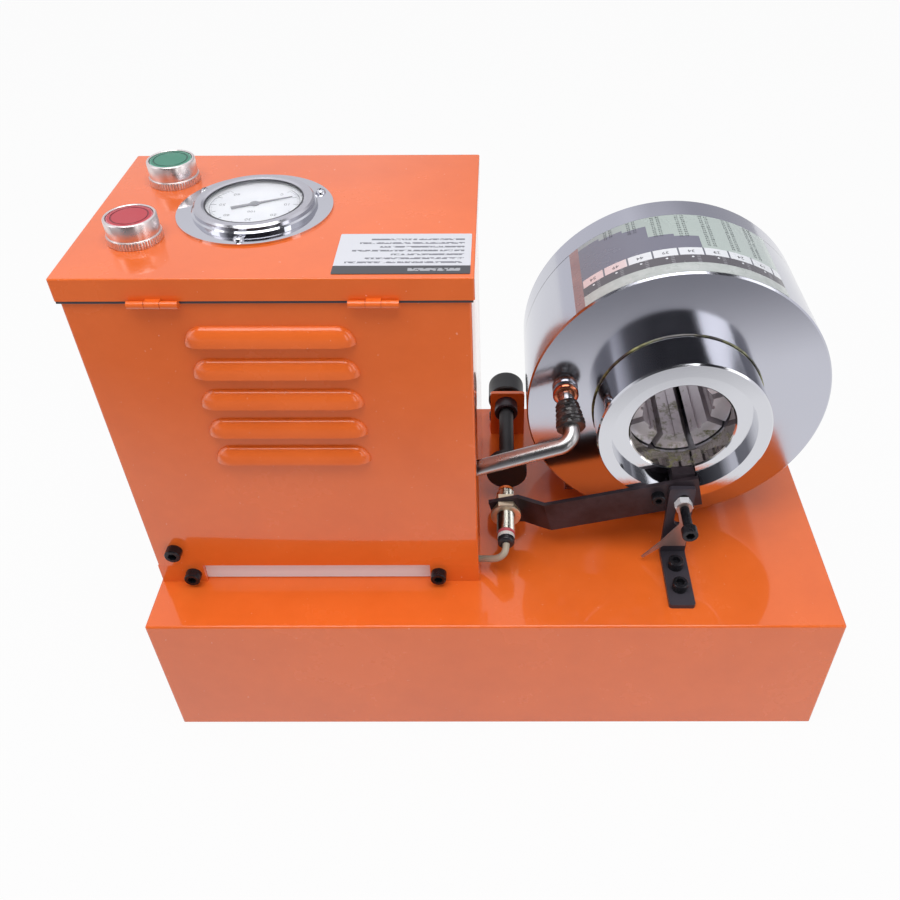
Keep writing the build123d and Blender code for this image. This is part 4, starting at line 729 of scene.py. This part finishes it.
# Blackened steel
# The sensor arm, the return stop, the screws and the target disc are steel with a thin
# brown-black oxide finish that is rubbed a little bright on its grain.
black_steel, tree, shader = new_finish("black_oxide_steel", linear(52, 44, 49), metallic=0.3)
mask = give_smears(tree, shader, 0.3, 0.48, 60.0)
tone = colour_steps(tree, mask, [(0.35, linear(42, 35, 40)), (0.7, linear(68, 58, 64))])
paint(tree, shader, tone)
give_skin(tree, shader, 1400.0, 0.08)
dress(["sensor_arm", "spindle_guide"], black_steel)
plain_finish(
    "bracket_black_steel",
    linear(66, 62, 70),
    (0.3, 0.5, 40.0),
    (900.0, 0.06),
    metallic=0.3,
    on=["stop_bracket"],
)
screw_steel, tree, shader = new_finish("black_screw_steel", linear(34, 34, 38), metallic=0.5)
mask = give_smears(tree, shader, 0.2, 0.36, 90.0)
tone = colour_steps(tree, mask, [(0.35, linear(26, 26, 30)), (0.7, linear(48, 48, 54))])
paint(tree, shader, tone)
give_skin(tree, shader, 1600.0, 0.08)
dress(["cabinet_screws", "base_screws", "arm_screw", "stop_screw"], screw_steel)

# Bare and plated steel
# The saddle, the pointer, the drain plug, the pipe and the rotor are bright machined
# steel, and the lock nut is zinc plated.
plain_finish(
    "machined_steel",
    linear(190, 188, 188),
    (0.22, 0.38, 40.0),
    (1200.0, 0.05),
    metallic=1.0,
    on=["head_saddle", "drain_plug", "motor_rotor", "pressure_pipe"],
)
plain_finish(
    "pointer_steel",
    linear(190, 172, 166),
    (0.28, 0.45, 60.0),
    (1200.0, 0.06),
    metallic=0.8,
    on=["pointer_plate"],
)
plain_finish(
    "zinc_plate",
    linear(246, 247, 250),
    (0.2, 0.35, 60.0),
    (1300.0, 0.06),
    metallic=0.35,
    on=["stop_lock_nut"],
)

# Die steel
# The eight jaws and their shoes are hardened alloy steel, ground on their faces. The lower jaws carry
# olive patches, partly a grease film and partly painted shade where the bottom of the bore lies in shadow.
die_steel, tree, shader = new_finish("ground_die_steel", linear(206, 200, 204), metallic=0.45)
mask = give_smears(tree, shader, 0.32, 0.5, 30.0)
die_z = object_axes(tree)[2]
die_low = below(tree, maths(tree, "SUBTRACT", die_z, head_z), -0.018)
# Olive patches on the lower jaws: grease film and painted shade of the bore's underside.
low_grease_and_shade = product(tree, die_low, patches(tree, 170.0, 5.0, 0.65, 0.5, 0.7))
tone = colour_steps(tree, mask, [(0.35, linear(220, 213, 217)), (0.65, linear(240, 233, 237))])
paint(tree, shader, mix_colours(tree, low_grease_and_shade, tone, linear(120, 118, 72)))
give_skin(tree, shader, 800.0, 0.06)
dress([f"crimp_die_{number}" for number in range(1, 9)], die_steel)

# Plastics, rubber and cast parts
# Caps, switch blocks, contactor, coil and filler cap are moulded, the seals are rubber
# and the pump is an aluminium casting.
black_plastic = plain_finish(
    "black_moulding",
    linear(32, 32, 34),
    (0.4, 0.6, 30.0),
    (1500.0, 0.1),
    on=["switch_blocks", "contactor", "filler_cap", "solenoid_coil", "piston_seals"],
)
dress(["target_spindle", "dial_knob"], black_plastic)
plain_finish(
    "pale_plate",
    linear(240, 234, 234),
    (0.4, 0.6, 30.0),
    (500.0, 0.04),
    on=["power_unit_plate", "valve_block"],
)
plain_finish(
    "motor_enamel",
    linear(62, 78, 92),
    (0.3, 0.5, 30.0),
    (500.0, 0.08),
    on=["motor_housing", "motor_fan_cowl"],
)
plain_finish(
    "cast_aluminium", linear(165, 166, 168), (0.4, 0.6, 50.0), (700.0, 0.2), metallic=1.0, on=["gear_pump"]
)
cable_skin = plain_finish(
    "grey_cable", linear(170, 160, 142), (0.45, 0.6, 60.0), (900.0, 0.08), on=["sensor_cable"]
)
sensor_lead.data.materials.append(cable_skin)

# Button caps
# Each cap is moulded in coloured plastic with a satin face, an engraved darker ring near
# its rim and a paler edge outside it.
ring_inner = 0.0090
ring_outer = 0.0098
cap_edge = 0.0112


def cap_finish(name, colour, ring, edge, centre_x, centre_y):
    """A cap's plastic, with its ring drawn at a distance from the button's middle."""
    finish, tree, shader = new_finish(name, colour, Coat_Weight=0.25, Coat_Roughness=0.15)
    x, y, _ = object_axes(tree)
    away = distance(tree, maths(tree, "SUBTRACT", x, centre_x), maths(tree, "SUBTRACT", y, centre_y))
    ringed = mix_colours(tree, between(tree, away, ring_inner, ring_outer), colour, ring)
    edged = mix_colours(tree, maths(tree, "GREATER_THAN", away, cap_edge), ringed, edge)
    paint(tree, shader, edged)
    give_smears(tree, shader, 0.3, 0.45, 60.0)
    return finish


green_x = -0.185
green_y = 0.038
red_x = -0.1865
red_y = -0.033
green_plastic = cap_finish(
    "green_cap", linear(40, 124, 98), linear(26, 82, 68), linear(130, 186, 170), green_x, green_y
)
red_plastic = cap_finish(
    "red_cap", linear(180, 38, 52), linear(124, 24, 40), linear(224, 140, 150), red_x, red_y
)

# Button collars and caps
# Each collar is one turned and chromed piece: threaded barrel with its nut under the lid,
# knurled foot, groove and smooth bezel. The moulded cap has an engraved ring and a stem.
lid_top = 0.3299
collar_profile = [
    (0.0053, -0.0180), (0.0109, -0.0180), (0.0109, -0.0045), (0.0140, -0.0045), (0.0140, -0.00155),
    (0.0109, -0.00155), (0.0109, 0.00002), (0.0137, 0.00002), (0.0137, 0.0041), (0.0135, 0.0044),
    (0.0133, 0.0045), (0.0133, 0.0048), (0.01355, 0.0051), (0.01355, 0.0127), (0.0133, 0.0132),
    (0.0129, 0.01345), (0.0123, 0.01345), (0.0120, 0.0132), (0.0120, 0.0020), (0.0053, 0.0020),
    (0.0053, -0.0180),
]
cap_profile = [
    (0.0, 0.0131), (0.0090, 0.0131), (0.0092, 0.01285), (0.0096, 0.01285), (0.0098, 0.0131),
    (0.0111, 0.0131), (0.0115, 0.01295), (0.0117, 0.0126), (0.0117, 0.0071), (0.0050, 0.0071),
    (0.0050, -0.0190), (0.0, -0.0190),
]
rib_count = 60
deselect()
rib_place = (0.0138, 0, lid_top + 0.0021)
rib_size = 0.00048
rib_height = 0.0038
bpy.ops.mesh.primitive_cylinder_add(
    vertices=8, radius=rib_size, depth=rib_height, location=rib_place
)
rib = bpy.context.object
settle()
collar_chrome = plain_finish(
    "brushed_collar_chrome", linear(232, 222, 220), (0.24, 0.38, 60.0), (1400.0, 0.05), metallic=0.95
)
for button, middle_x, middle_y, plastic in (
    ("green_button", green_x, green_y, green_plastic),
    ("red_button", red_x, red_y, red_plastic),
):
    foot = (middle_x, middle_y, lid_top)
    pieces = [turned(f"{button}_trim", collar_profile, foot, (0, 0, 1), steps=64)]
    for number in range(rib_count):
        turn = 2 * pi * number / rib_count
        place = Matrix.Translation((middle_x, middle_y, 0)) @ Matrix.Rotation(turn, 4, "Z")
        pieces.append(copied(rib, place))
    trim = joined(f"{button}_trim", pieces)
    hand_over(trim, "lid", collar_chrome)
    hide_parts(f"{button}_collar")
    cap = turned(f"{button}_cap", cap_profile, foot, (0, 0, 1), steps=64)
    hand_over(cap, button, plastic)
    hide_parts(button)
bpy.data.objects.remove(rib, do_unlink=True)

# Pressure gauge face
# The dial is white enamelled tin with printed marks: a ring of fine ticks, an inner arc
# and numbers, read from the operator's side, behind the clear window.
gauge_x = -0.1308
gauge_y = 0.001
white_dial, tree, shader = new_finish("dial_white", linear(212, 214, 224))
face_x, face_y, _ = object_axes(tree)
away_x = maths(tree, "SUBTRACT", face_x, gauge_x)
away_y = maths(tree, "SUBTRACT", face_y, gauge_y)
away = distance(tree, away_x, away_y)
bearing = product(tree, maths(tree, "ARCTAN2", away_x, away_y), 180 / pi)
on_scale = maths(tree, "GREATER_THAN", maths(tree, "ABSOLUTE", bearing), 45.0)
fine_tick = below(tree, maths(tree, "PINGPONG", bearing, 2.25), 0.35)
fine_ring = between(tree, away, 0.0228, 0.0245)
broad_tick = below(tree, maths(tree, "PINGPONG", maths(tree, "ADD", bearing, 22.5), 11.25), 0.75)
broad_ring = between(tree, away, 0.0212, 0.0245)
thin_arc = between(tree, away, 0.0243, 0.0247)
ticks = maths(tree, "MAXIMUM", product(tree, fine_tick, fine_ring), product(tree, broad_tick, broad_ring))
marks = product(tree, on_scale, maths(tree, "MAXIMUM", ticks, thin_arc))
face_tone = colour_steps(
    tree, noise(tree, 60.0), [(0.3, linear(238, 240, 248)), (0.7, linear(248, 250, 255))]
)
paint(tree, shader, mix_colours(tree, marks, face_tone, linear(120, 122, 136)))
give_smears(tree, shader, 0.4, 0.5, 30.0)
dress(["gauge_dial"], white_dial)
plain_finish("needle_black", linear(124, 126, 136), (0.35, 0.5, 30.0), on=["gauge_needle"])
clear_glass, tree, shader = new_finish("clear_glass", (1.0, 1.0, 1.0), Transmission_Weight=1.0, IOR=1.45)
glass_film = product(tree, patches(tree, 30.0, 3.0, 0.5, 0.3, 0.8), 0.02)
tree.links.new(glass_film, shader.inputs["Roughness"])
dress(["gauge_glass"], clear_glass)


# Gauge numbers
# Printed figures from nought to sixty stand round the scale and a plain count stands in
# the middle. Each is cut from flat type and lies on the dial.
def figures(name, words, height, place):
    """Flat type made a mesh about the origin, then moved to its place."""
    deselect()
    bpy.ops.object.text_add(location=(0, 0, 0))
    words_object = bpy.context.object
    words_object.name = name
    words_object.data.body = words
    words_object.data.size = height / 0.7
    words_object.data.align_x = "CENTER"
    words_object.data.align_y = "CENTER"
    words_object.data.resolution_u = 2
    bpy.ops.object.convert(target="MESH")
    piece = bpy.context.object
    piece.matrix_world = place
    settle()
    return piece


def inked(piece):
    """Gives flat print a thin layer of ink with closed sides."""
    apply_modifier(piece, "SOLIDIFY", thickness=0.00003, offset=-1.0)


print_grey = plain_finish("print_grey", linear(112, 114, 128), (0.4, 0.6, 80.0))
dial_figures = []
dial_print_height = 0.33184
figure_circle = 0.0178
for number in range(7):
    turn = radians(225 - 45 * number)
    figure_x = gauge_x + figure_circle * cos(turn + pi)
    figure_y = gauge_y + figure_circle * sin(turn + pi)
    spot = Vector((figure_x, figure_y, dial_print_height))
    place = Matrix.Translation(spot) @ Matrix.Rotation(pi, 4, "Z")
    dial_figures.append(figures(f"dial_figure_{number}", str(number * 10), 0.0026, place))
middle_place = Matrix.Translation((gauge_x, gauge_y - 0.0085, dial_print_height)) @ Matrix.Rotation(
    pi, 4, "Z"
)
dial_figures.append(figures("dial_figure_middle", "100", 0.0022, middle_place))
gauge_print = joined("gauge_print", dial_figures)
inked(gauge_print)
hand_over(gauge_print, "lid", print_grey)

# Gauge screws
# Three chromed pan-head screws hold the gauge's flange. One domed head is turned, its cross
# recess is cut with two small bars, and it is copied to the other two places.
screw_turns = (-91.5, 28.5, 148.5)
screw_circle = 0.0378
flange_top = 0.3311
head_profile = [
    (0.0, 0.0022), (0.0009, 0.00215), (0.0017, 0.0019), (0.0024, 0.0014), (0.0028, 0.0007),
    (0.0029, 0.0), (0.0014, 0.0), (0.0014, -0.0016), (0.0, -0.0016),
]
first_head = turned("gauge_screw_heads", head_profile, (0, 0, 0), (0, 0, 1), steps=32)
for quarter in (0.0, pi / 2):
    bar = block("recess_bar", (0, 0, 0.0020), (0.0034, 0.0006, 0.0018), quarter)
    apply_modifier(first_head, "BOOLEAN", object=bar, operation="DIFFERENCE")
    bpy.data.objects.remove(bar, do_unlink=True)
screw_heads = []
for turn in screw_turns:
    screw_x = gauge_x + screw_circle * cos(radians(turn))
    screw_y = gauge_y + screw_circle * sin(radians(turn))
    spot = (screw_x, screw_y, flange_top)
    place = Matrix.Translation(spot) @ Matrix.Rotation(radians(turn * 3), 4, "Z")
    screw_heads.append(copied(first_head, place))
bpy.data.objects.remove(first_head, do_unlink=True)
gauge_heads = joined("gauge_screw_heads", screw_heads)
hand_over(gauge_heads, "lid", chrome)
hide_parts("gauge_screws")

# Gauge window seal
# A thin dark rubber ring is squeezed between the window and the bezel's inner edge, and
# shows as the fine dark line round the dial.
# The same black also serves as painted shade in the lid's gap below.
seal_and_shade_black = plain_finish("seal_and_shade_black", linear(58, 58, 64), (0.4, 0.6, 80.0))
window_seal = turned(
    "gauge_window_seal",
    [
        (0.0262, 0.0001),
        (0.0262, 0.0004),
        (0.0266, 0.0006),
        (0.02705, 0.0004),
        (0.02705, 0.0001),
        (0.0262, 0.0001),
    ],
    (gauge_x, gauge_y, 0.33485),
    (0, 0, 1),
    steps=96,
)
hand_over(window_seal, "lid", seal_and_shade_black)

# Lid gap shade
# A thin black strip under the near flange of the lid is painted shade: it gives the dark line between
# the lid and the cover, where the gap under the flange lies in shadow.
gap_shade_middle = (-0.1136, -0.0733, 0.31655)
gap_shade_size = (0.2080, 0.0015, 0.0015)
lid_gap_shade = block("lid_gap_shade", gap_shade_middle, gap_shade_size)
shape_all(bpy.ops.mesh.bevel, offset=0.00015, segments=2)
hand_over(lid_gap_shade, "lid", seal_and_shade_black)

# Instruction plate on the lid
# A thin aluminium plate with barely rounded corners is bonded flat on the lid: a dark band
# with one pale row along its near edge, the rest white with rows of ruled lines. The rows
# are broken at random and form no letters.
plate_low = Vector((-0.0795, -0.0705))
plate_high = Vector((-0.011, -0.029))
plate_middle = (plate_low + plate_high) / 2
plate_size = plate_high - plate_low
lid_plate = block("lid_plate", (*plate_middle, lid_top + 0.00016), (*plate_size, 0.0003))
corner_weight = lid_plate.data.attributes.new("bevel_weight_edge", "FLOAT", "EDGE")
for edge in lid_plate.data.edges:
    ends = [lid_plate.data.vertices[index].co for index in edge.vertices]
    if abs(ends[0].z - ends[1].z) > 0.0002:
        corner_weight.data[edge.index].value = 1.0
apply_modifier(lid_plate, "BEVEL", width=0.0007, segments=3, limit_method="WEIGHT")
plate_print, tree, shader = new_finish(
    "plate_print", linear(222, 224, 232), Coat_Weight=0.4, Coat_Roughness=0.1
)
plate_x, plate_y, _ = object_axes(tree)
plate_band_edge = -0.0625
dark_band = below(tree, plate_y, plate_band_edge)
row_pitch = 0.0040
row_number = maths(tree, "FLOOR", maths(tree, "DIVIDE", plate_y, row_pitch))
row_random = add_node(tree, "ShaderNodeTexWhiteNoise", noise_dimensions="1D")
tree.links.new(row_number, row_random.inputs["W"])
row_start = maths(tree, "ADD", -0.0755, product(tree, row_random.outputs["Value"], 0.027))
row_line = below(tree, maths(tree, "FRACT", maths(tree, "DIVIDE", plate_y, row_pitch)), 0.42)
row_from = maths(tree, "GREATER_THAN", plate_x, row_start)
row_to = below(tree, plate_x, -0.0145)
row_field = between(tree, plate_y, -0.0602, -0.0322)
breaks = maths(tree, "GREATER_THAN", noise(tree, 640.0, 1.0, 0.5), 0.42)
rows = product(tree, row_line, row_field, row_from, row_to, breaks, 0.85)
plate_ground = mix_colours(tree, rows, linear(212, 213, 219), linear(84, 86, 96))
band_line = between(tree, plate_y, -0.0678, -0.0650)
band_reach = between(tree, plate_x, -0.0420, -0.0160)
band_marks = product(tree, band_line, band_reach, breaks)
band_tone = mix_colours(tree, product(tree, band_marks, 0.7), linear(56, 57, 62), linear(190, 192, 198))
paint(tree, shader, mix_colours(tree, dark_band, plate_ground, band_tone))
give_smears(tree, shader, 0.3, 0.45, 30.0)
hand_over(lid_plate, "lid", plate_print)

# Pressure chart on the head
# A printed foil is bonded round the upper side of the barrel: a bare strip, a dark band
# with dots, eight white cells, a blue-grey field with a stepped edge and a pale field.
chart_first = 134.9
chart_last = 55.0
chart_bar = 130.7
chart_pitch = 9.0
chart_radius = 0.09518
chart_thick = 0.0003
cells_edge = 0.0155
band_edge = 0.007
strip_edge = -0.002
head_middle = (head_x, 0.0, head_z)
chart_plate = turned(
    "chart_plate",
    [(chart_radius, 0.012), (chart_radius, -0.0575)],
    head_middle,
    (0, -1, 0),
    steps=56,
    start=radians(chart_first),
    angle=radians(chart_first - chart_last),
)
apply_modifier(chart_plate, "SOLIDIFY", thickness=chart_thick, offset=0.0)
shape_all(bpy.ops.mesh.normals_make_consistent, inside=False)
chart_print, tree, shader = new_finish(
    "chart_print", linear(178, 190, 183), Coat_Weight=0.5, Coat_Roughness=0.08
)
chart_x, chart_y, chart_z = object_axes(tree)
bearing = product(
    tree,
    maths(
        tree, "ARCTAN2", maths(tree, "SUBTRACT", chart_z, head_z), maths(tree, "SUBTRACT", chart_x, head_x)
    ),
    180 / pi,
)
column_place = maths(tree, "DIVIDE", maths(tree, "SUBTRACT", chart_bar, bearing), chart_pitch)
column_share = maths(tree, "DIVIDE", column_place, 10.0)
field_edges = [(0.0, 0.053), (0.1, 0.05), (0.2, 0.047), (0.3, 0.033), (0.4, 0.03), (0.5, 0.0)]
field_edge = colour_steps(
    tree, column_share, [(place, (edge, edge, edge)) for place, edge in field_edges], "CONSTANT"
)
field_far = maths(tree, "SUBTRACT", field_edge, chart_y)
in_field = maths(tree, "GREATER_THAN", field_far, 0.0)
pale_tone = colour_steps(
    tree, column_share, [
        (0.0, linear(150, 156, 158)), (0.35, linear(172, 184, 178)), (0.9, linear(190, 200, 196))
    ]
)
chart_tone = mix_colours(tree, in_field, pale_tone, linear(112, 112, 128))
cell_gap = below(tree, maths(tree, "PINGPONG", column_place, 0.5), 0.035)
cell_tone = colour_steps(
    tree, column_share, [
        (0.0, linear(226, 200, 200)), (0.19, linear(228, 206, 206)), (0.21, linear(228, 230, 234))
    ]
)
cell_tone = mix_colours(tree, cell_gap, cell_tone, linear(104, 106, 116))
chart_tone = mix_colours(tree, below(tree, chart_y, cells_edge), chart_tone, cell_tone)
dot_turn = product(tree, maths(tree, "PINGPONG", maths(tree, "ADD", column_place, 0.5), 0.5), 15.0)
dot_side = product(tree, maths(tree, "SUBTRACT", chart_y, 0.0045), 1000.0)
dots = below(tree, distance(tree, dot_turn, dot_side), 0.75)
dash_column = below(tree, maths(tree, "PINGPONG", maths(tree, "ADD", column_place, 0.28), 0.5), 0.07)
dash_row = below(tree, maths(tree, "FRACT", product(tree, chart_y, 520.0)), 0.45)
dashes = product(tree, dash_column, dash_row, 0.45)
band_tone = mix_colours(tree, dashes, linear(82, 78, 84), linear(170, 170, 176))
band_tone = mix_colours(tree, dots, band_tone, linear(226, 228, 232))
chart_tone = mix_colours(tree, below(tree, chart_y, band_edge), chart_tone, band_tone)
strip_tone = colour_steps(
    tree, noise(tree, 200.0), [(0.3, linear(176, 182, 178)), (0.7, linear(194, 198, 196))]
)
chart_tone = mix_colours(tree, below(tree, chart_y, strip_edge), chart_tone, strip_tone)
bar_tone = colour_steps(
    tree, noise(tree, 60.0), [(0.3, linear(140, 104, 104)), (0.7, linear(158, 122, 120))]
)
chart_tone = mix_colours(tree, below(tree, column_place, 0.0), chart_tone, bar_tone)
paint(tree, shader, chart_tone)
give_smears(tree, shader, 0.22, 0.34, 20.0)
hand_over(chart_plate, "machine", chart_print)


# Chart figures
# Columns of small dark figures in pairs, and a larger one in each white cell, read from the
# operator's side. They are laid on the curve of the foil by shrinking them on to it.
def chart_place(turn, y):
    """The place on the chart at an angle and a distance along the head, faced outwards."""
    out = Vector((cos(radians(turn)), 0.0, sin(radians(turn))))
    along = Vector((0.0, -1.0, 0.0))
    across = along.cross(out)
    spot = Vector(head_middle) + out * (chart_radius + chart_thick / 2 + 0.0001) + Vector((0.0, y, 0.0))
    facing = Matrix((across, along, out)).transposed().to_4x4()
    return Matrix.Translation(spot) @ facing


chart_ink = plain_finish("chart_ink", linear(40, 42, 50), (0.4, 0.6, 80.0))
chart_pieces = []
column_ends = [None, 0.0475, 0.0425, 0.0325, 0.0295, 0.019, 0.019, 0.019]
row_height = 0.0026
for column, column_end in enumerate(column_ends):
    column_middle = chart_bar - chart_pitch * (column + 0.5)
    cell_words = f"{54 - 5 * column}"
    chart_pieces.append(
        figures(f"cell_figure_{column}", cell_words, 0.0030, chart_place(column_middle, 0.0112))
    )
    if column_end is None:
        continue
    row = 0
    row_y = 0.0560
    while row_y > column_end:
        for side in (-1, 1):
            words = str(14 + (column * 13 + row * 7 + side * 5) % 71)
            place = chart_place(column_middle + 0.6 + side * 1.05, row_y)
            chart_pieces.append(figures(f"chart_figure_{column}_{row}_{side}", words, 0.0017, place))
        row += 1
        row_y -= row_height
chart_figures = joined("chart_figures", chart_pieces)
apply_modifier(
    chart_figures,
    "SHRINKWRAP",
    target=chart_plate,
    wrap_method="NEAREST_SURFACEPOINT",
    wrap_mode="ABOVE_SURFACE",
    offset=0.00005,
)
inked(chart_figures)
hand_over(chart_figures, "machine", chart_ink, 60.0)

# Proximity sensor
# An M12 sensor: a nickel plated barrel with a fine thread, an orange face at the sensing
# end, and at the cable end a red and a white band and a black plastic nose.
sensor_axis = (0.007, 0.0, 0.131)
sensor_profile = [
    (0.0, -0.064), (0.0038, -0.064), (0.0049, -0.0637), (0.0054, -0.0630), (0.0054, -0.0602),
    (0.0056, -0.0600), (0.0056, -0.0576), (0.0055, -0.0575), (0.0056, -0.0574), (0.0056, -0.0551),
    (0.0058, -0.0549),
]
thread_pitch = 0.001
thread_place = -0.0545
while thread_place < -0.0175:
    sensor_profile.append((0.0056, thread_place))
    sensor_profile.append((0.0060, thread_place + thread_pitch / 2))
    thread_place += thread_pitch
sensor_profile += [
    (0.0055, -0.0168),
    (0.0051, -0.0165),
    (0.0050, -0.0162),
    (0.0050, -0.0140),
    (0.0045, -0.0135),
    (0.0, -0.0135),
]
sensor = turned("threaded_sensor", sensor_profile, sensor_axis, (0, 1, 0), steps=40)
sensor_finish, tree, shader = new_finish("sensor_barrel", linear(206, 203, 192), metallic=1.0)
sensor_y = object_axes(tree)[1]
sensor_share = maths(tree, "DIVIDE", maths(tree, "ADD", sensor_y, 0.064), 0.0505)
band_places = [
    (0.0, linear(36, 36, 40), 0.0),
    (0.077, linear(222, 218, 214), 0.0),
    (0.129, linear(206, 96, 104), 0.0),
    (0.18, linear(206, 203, 192), 1.0),
    (0.938, linear(226, 122, 58), 0.0),
]
sensor_tone = colour_steps(
    tree, sensor_share, [(place, tone) for place, tone, metal in band_places], "CONSTANT"
)
sensor_metal = colour_steps(
    tree, sensor_share, [(place, (metal, metal, metal)) for place, tone, metal in band_places], "CONSTANT"
)
paint(tree, shader, sensor_tone)
tree.links.new(sensor_metal, shader.inputs["Metallic"])
give_smears(tree, shader, 0.16, 0.3, 60.0)
hand_over(sensor, "piston", sensor_finish, 40.0)
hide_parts("proximity_sensor")
nickel = plain_finish(
    "nickel_plate",
    linear(226, 208, 180),
    (0.26, 0.42, 60.0),
    (900.0, 0.04),
    metallic=0.75,
    on=["sensor_nuts"],
)

# Sensor washer
# A plated lock washer lies under the nearer nut, a little wider than the nut's corners, and
# shows as the bright round collar on the barrel.
washer_profile = [
    (0.0061, -0.0391), (0.0094, -0.0391), (0.0099, -0.0388), (0.0099, -0.0382), (0.0094, -0.0378),
    (0.0061, -0.0378), (0.0061, -0.0391),
]
washer = turned("sensor_washer", washer_profile, sensor_axis, (0, 1, 0), steps=56)
hand_over(washer, "piston", nickel)

# Pipe union
# The union on the valve side is turned brass: two rings with a groove between them, the
# upper one plated, the lower one bare and coppery.
union_axis = (0.044, 0.0, 0.215)
pipe_hole = 0.00505
union_profile = [
    (pipe_hole, -0.0188), (0.0070, -0.0188), (0.0076, -0.0183), (0.0080, -0.0178), (0.0080, -0.0166),
    (0.0072, -0.0163), (0.0072, -0.0158), (0.0080, -0.0155), (0.0080, -0.0136), (0.0077, -0.0131),
    (pipe_hole, -0.0131), (pipe_hole, -0.0188),
]
union = turned("pipe_union_rings", union_profile, union_axis, (0, 1, 0), steps=56)
union_finish, tree, shader = new_finish("union_metal", linear(205, 190, 180), metallic=1.0)
union_y = object_axes(tree)[1]
union_split = below(tree, union_y, -0.0160)
paint(tree, shader, mix_colours(tree, union_split, linear(210, 208, 212), linear(206, 128, 96)))
give_smears(tree, shader, 0.16, 0.3, 60.0)
hand_over(union, "machine", union_finish, 40.0)
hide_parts("pipe_union")

# Pipe wrap
# Black crinkled tape and shrink hose wound round the pipe below the union, wider towards
# its lower end, with uneven folds and a ragged edge.
wrap_corner = Vector((0.044, -0.022, 0.215))
wrap_way = (Vector((0.0475, -0.050, 0.2037)) - wrap_corner).normalized()
wrap_begin = 0.0026
wrap_long = 0.0178
wrap_profile = [(pipe_hole, wrap_begin), (0.0062, wrap_begin), (0.0066, wrap_begin + 0.0004)]
fold_count = 15
for fold in range(fold_count):
    share = (fold + 0.5) / fold_count
    lift = (0.0, 0.0005, -0.0003, 0.0004, -0.0004)[fold % 5]
    wrap_profile.append(
        (0.0067 + 0.0022 * share + lift, wrap_begin + 0.0006 + (wrap_long - 0.0012) * share)
    )
wrap_profile += [
    (0.0088, wrap_begin + wrap_long - 0.0003),
    (0.0080, wrap_begin + wrap_long),
    (pipe_hole, wrap_begin + wrap_long),
    (pipe_hole, wrap_begin),
]
wrap = turned("pipe_wrap", wrap_profile, wrap_corner, wrap_way, wrap_way.orthogonal(), steps=44)
shape_all(bpy.ops.transform.vertex_random, offset=0.0003, seed=11)
wrap_finish, tree, shader = new_finish(
    "black_wrap", linear(36, 33, 34), Coat_Weight=0.6, Coat_Roughness=0.18
)
mask = give_smears(tree, shader, 0.3, 0.5, 120.0)
paint(tree, shader, colour_steps(tree, mask, [(0.4, linear(28, 26, 27)), (0.7, linear(58, 52, 52))]))
give_skin(tree, shader, 500.0, 0.5)
hand_over(wrap, "machine", wrap_finish, 60.0)
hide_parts("pipe_sleeve")
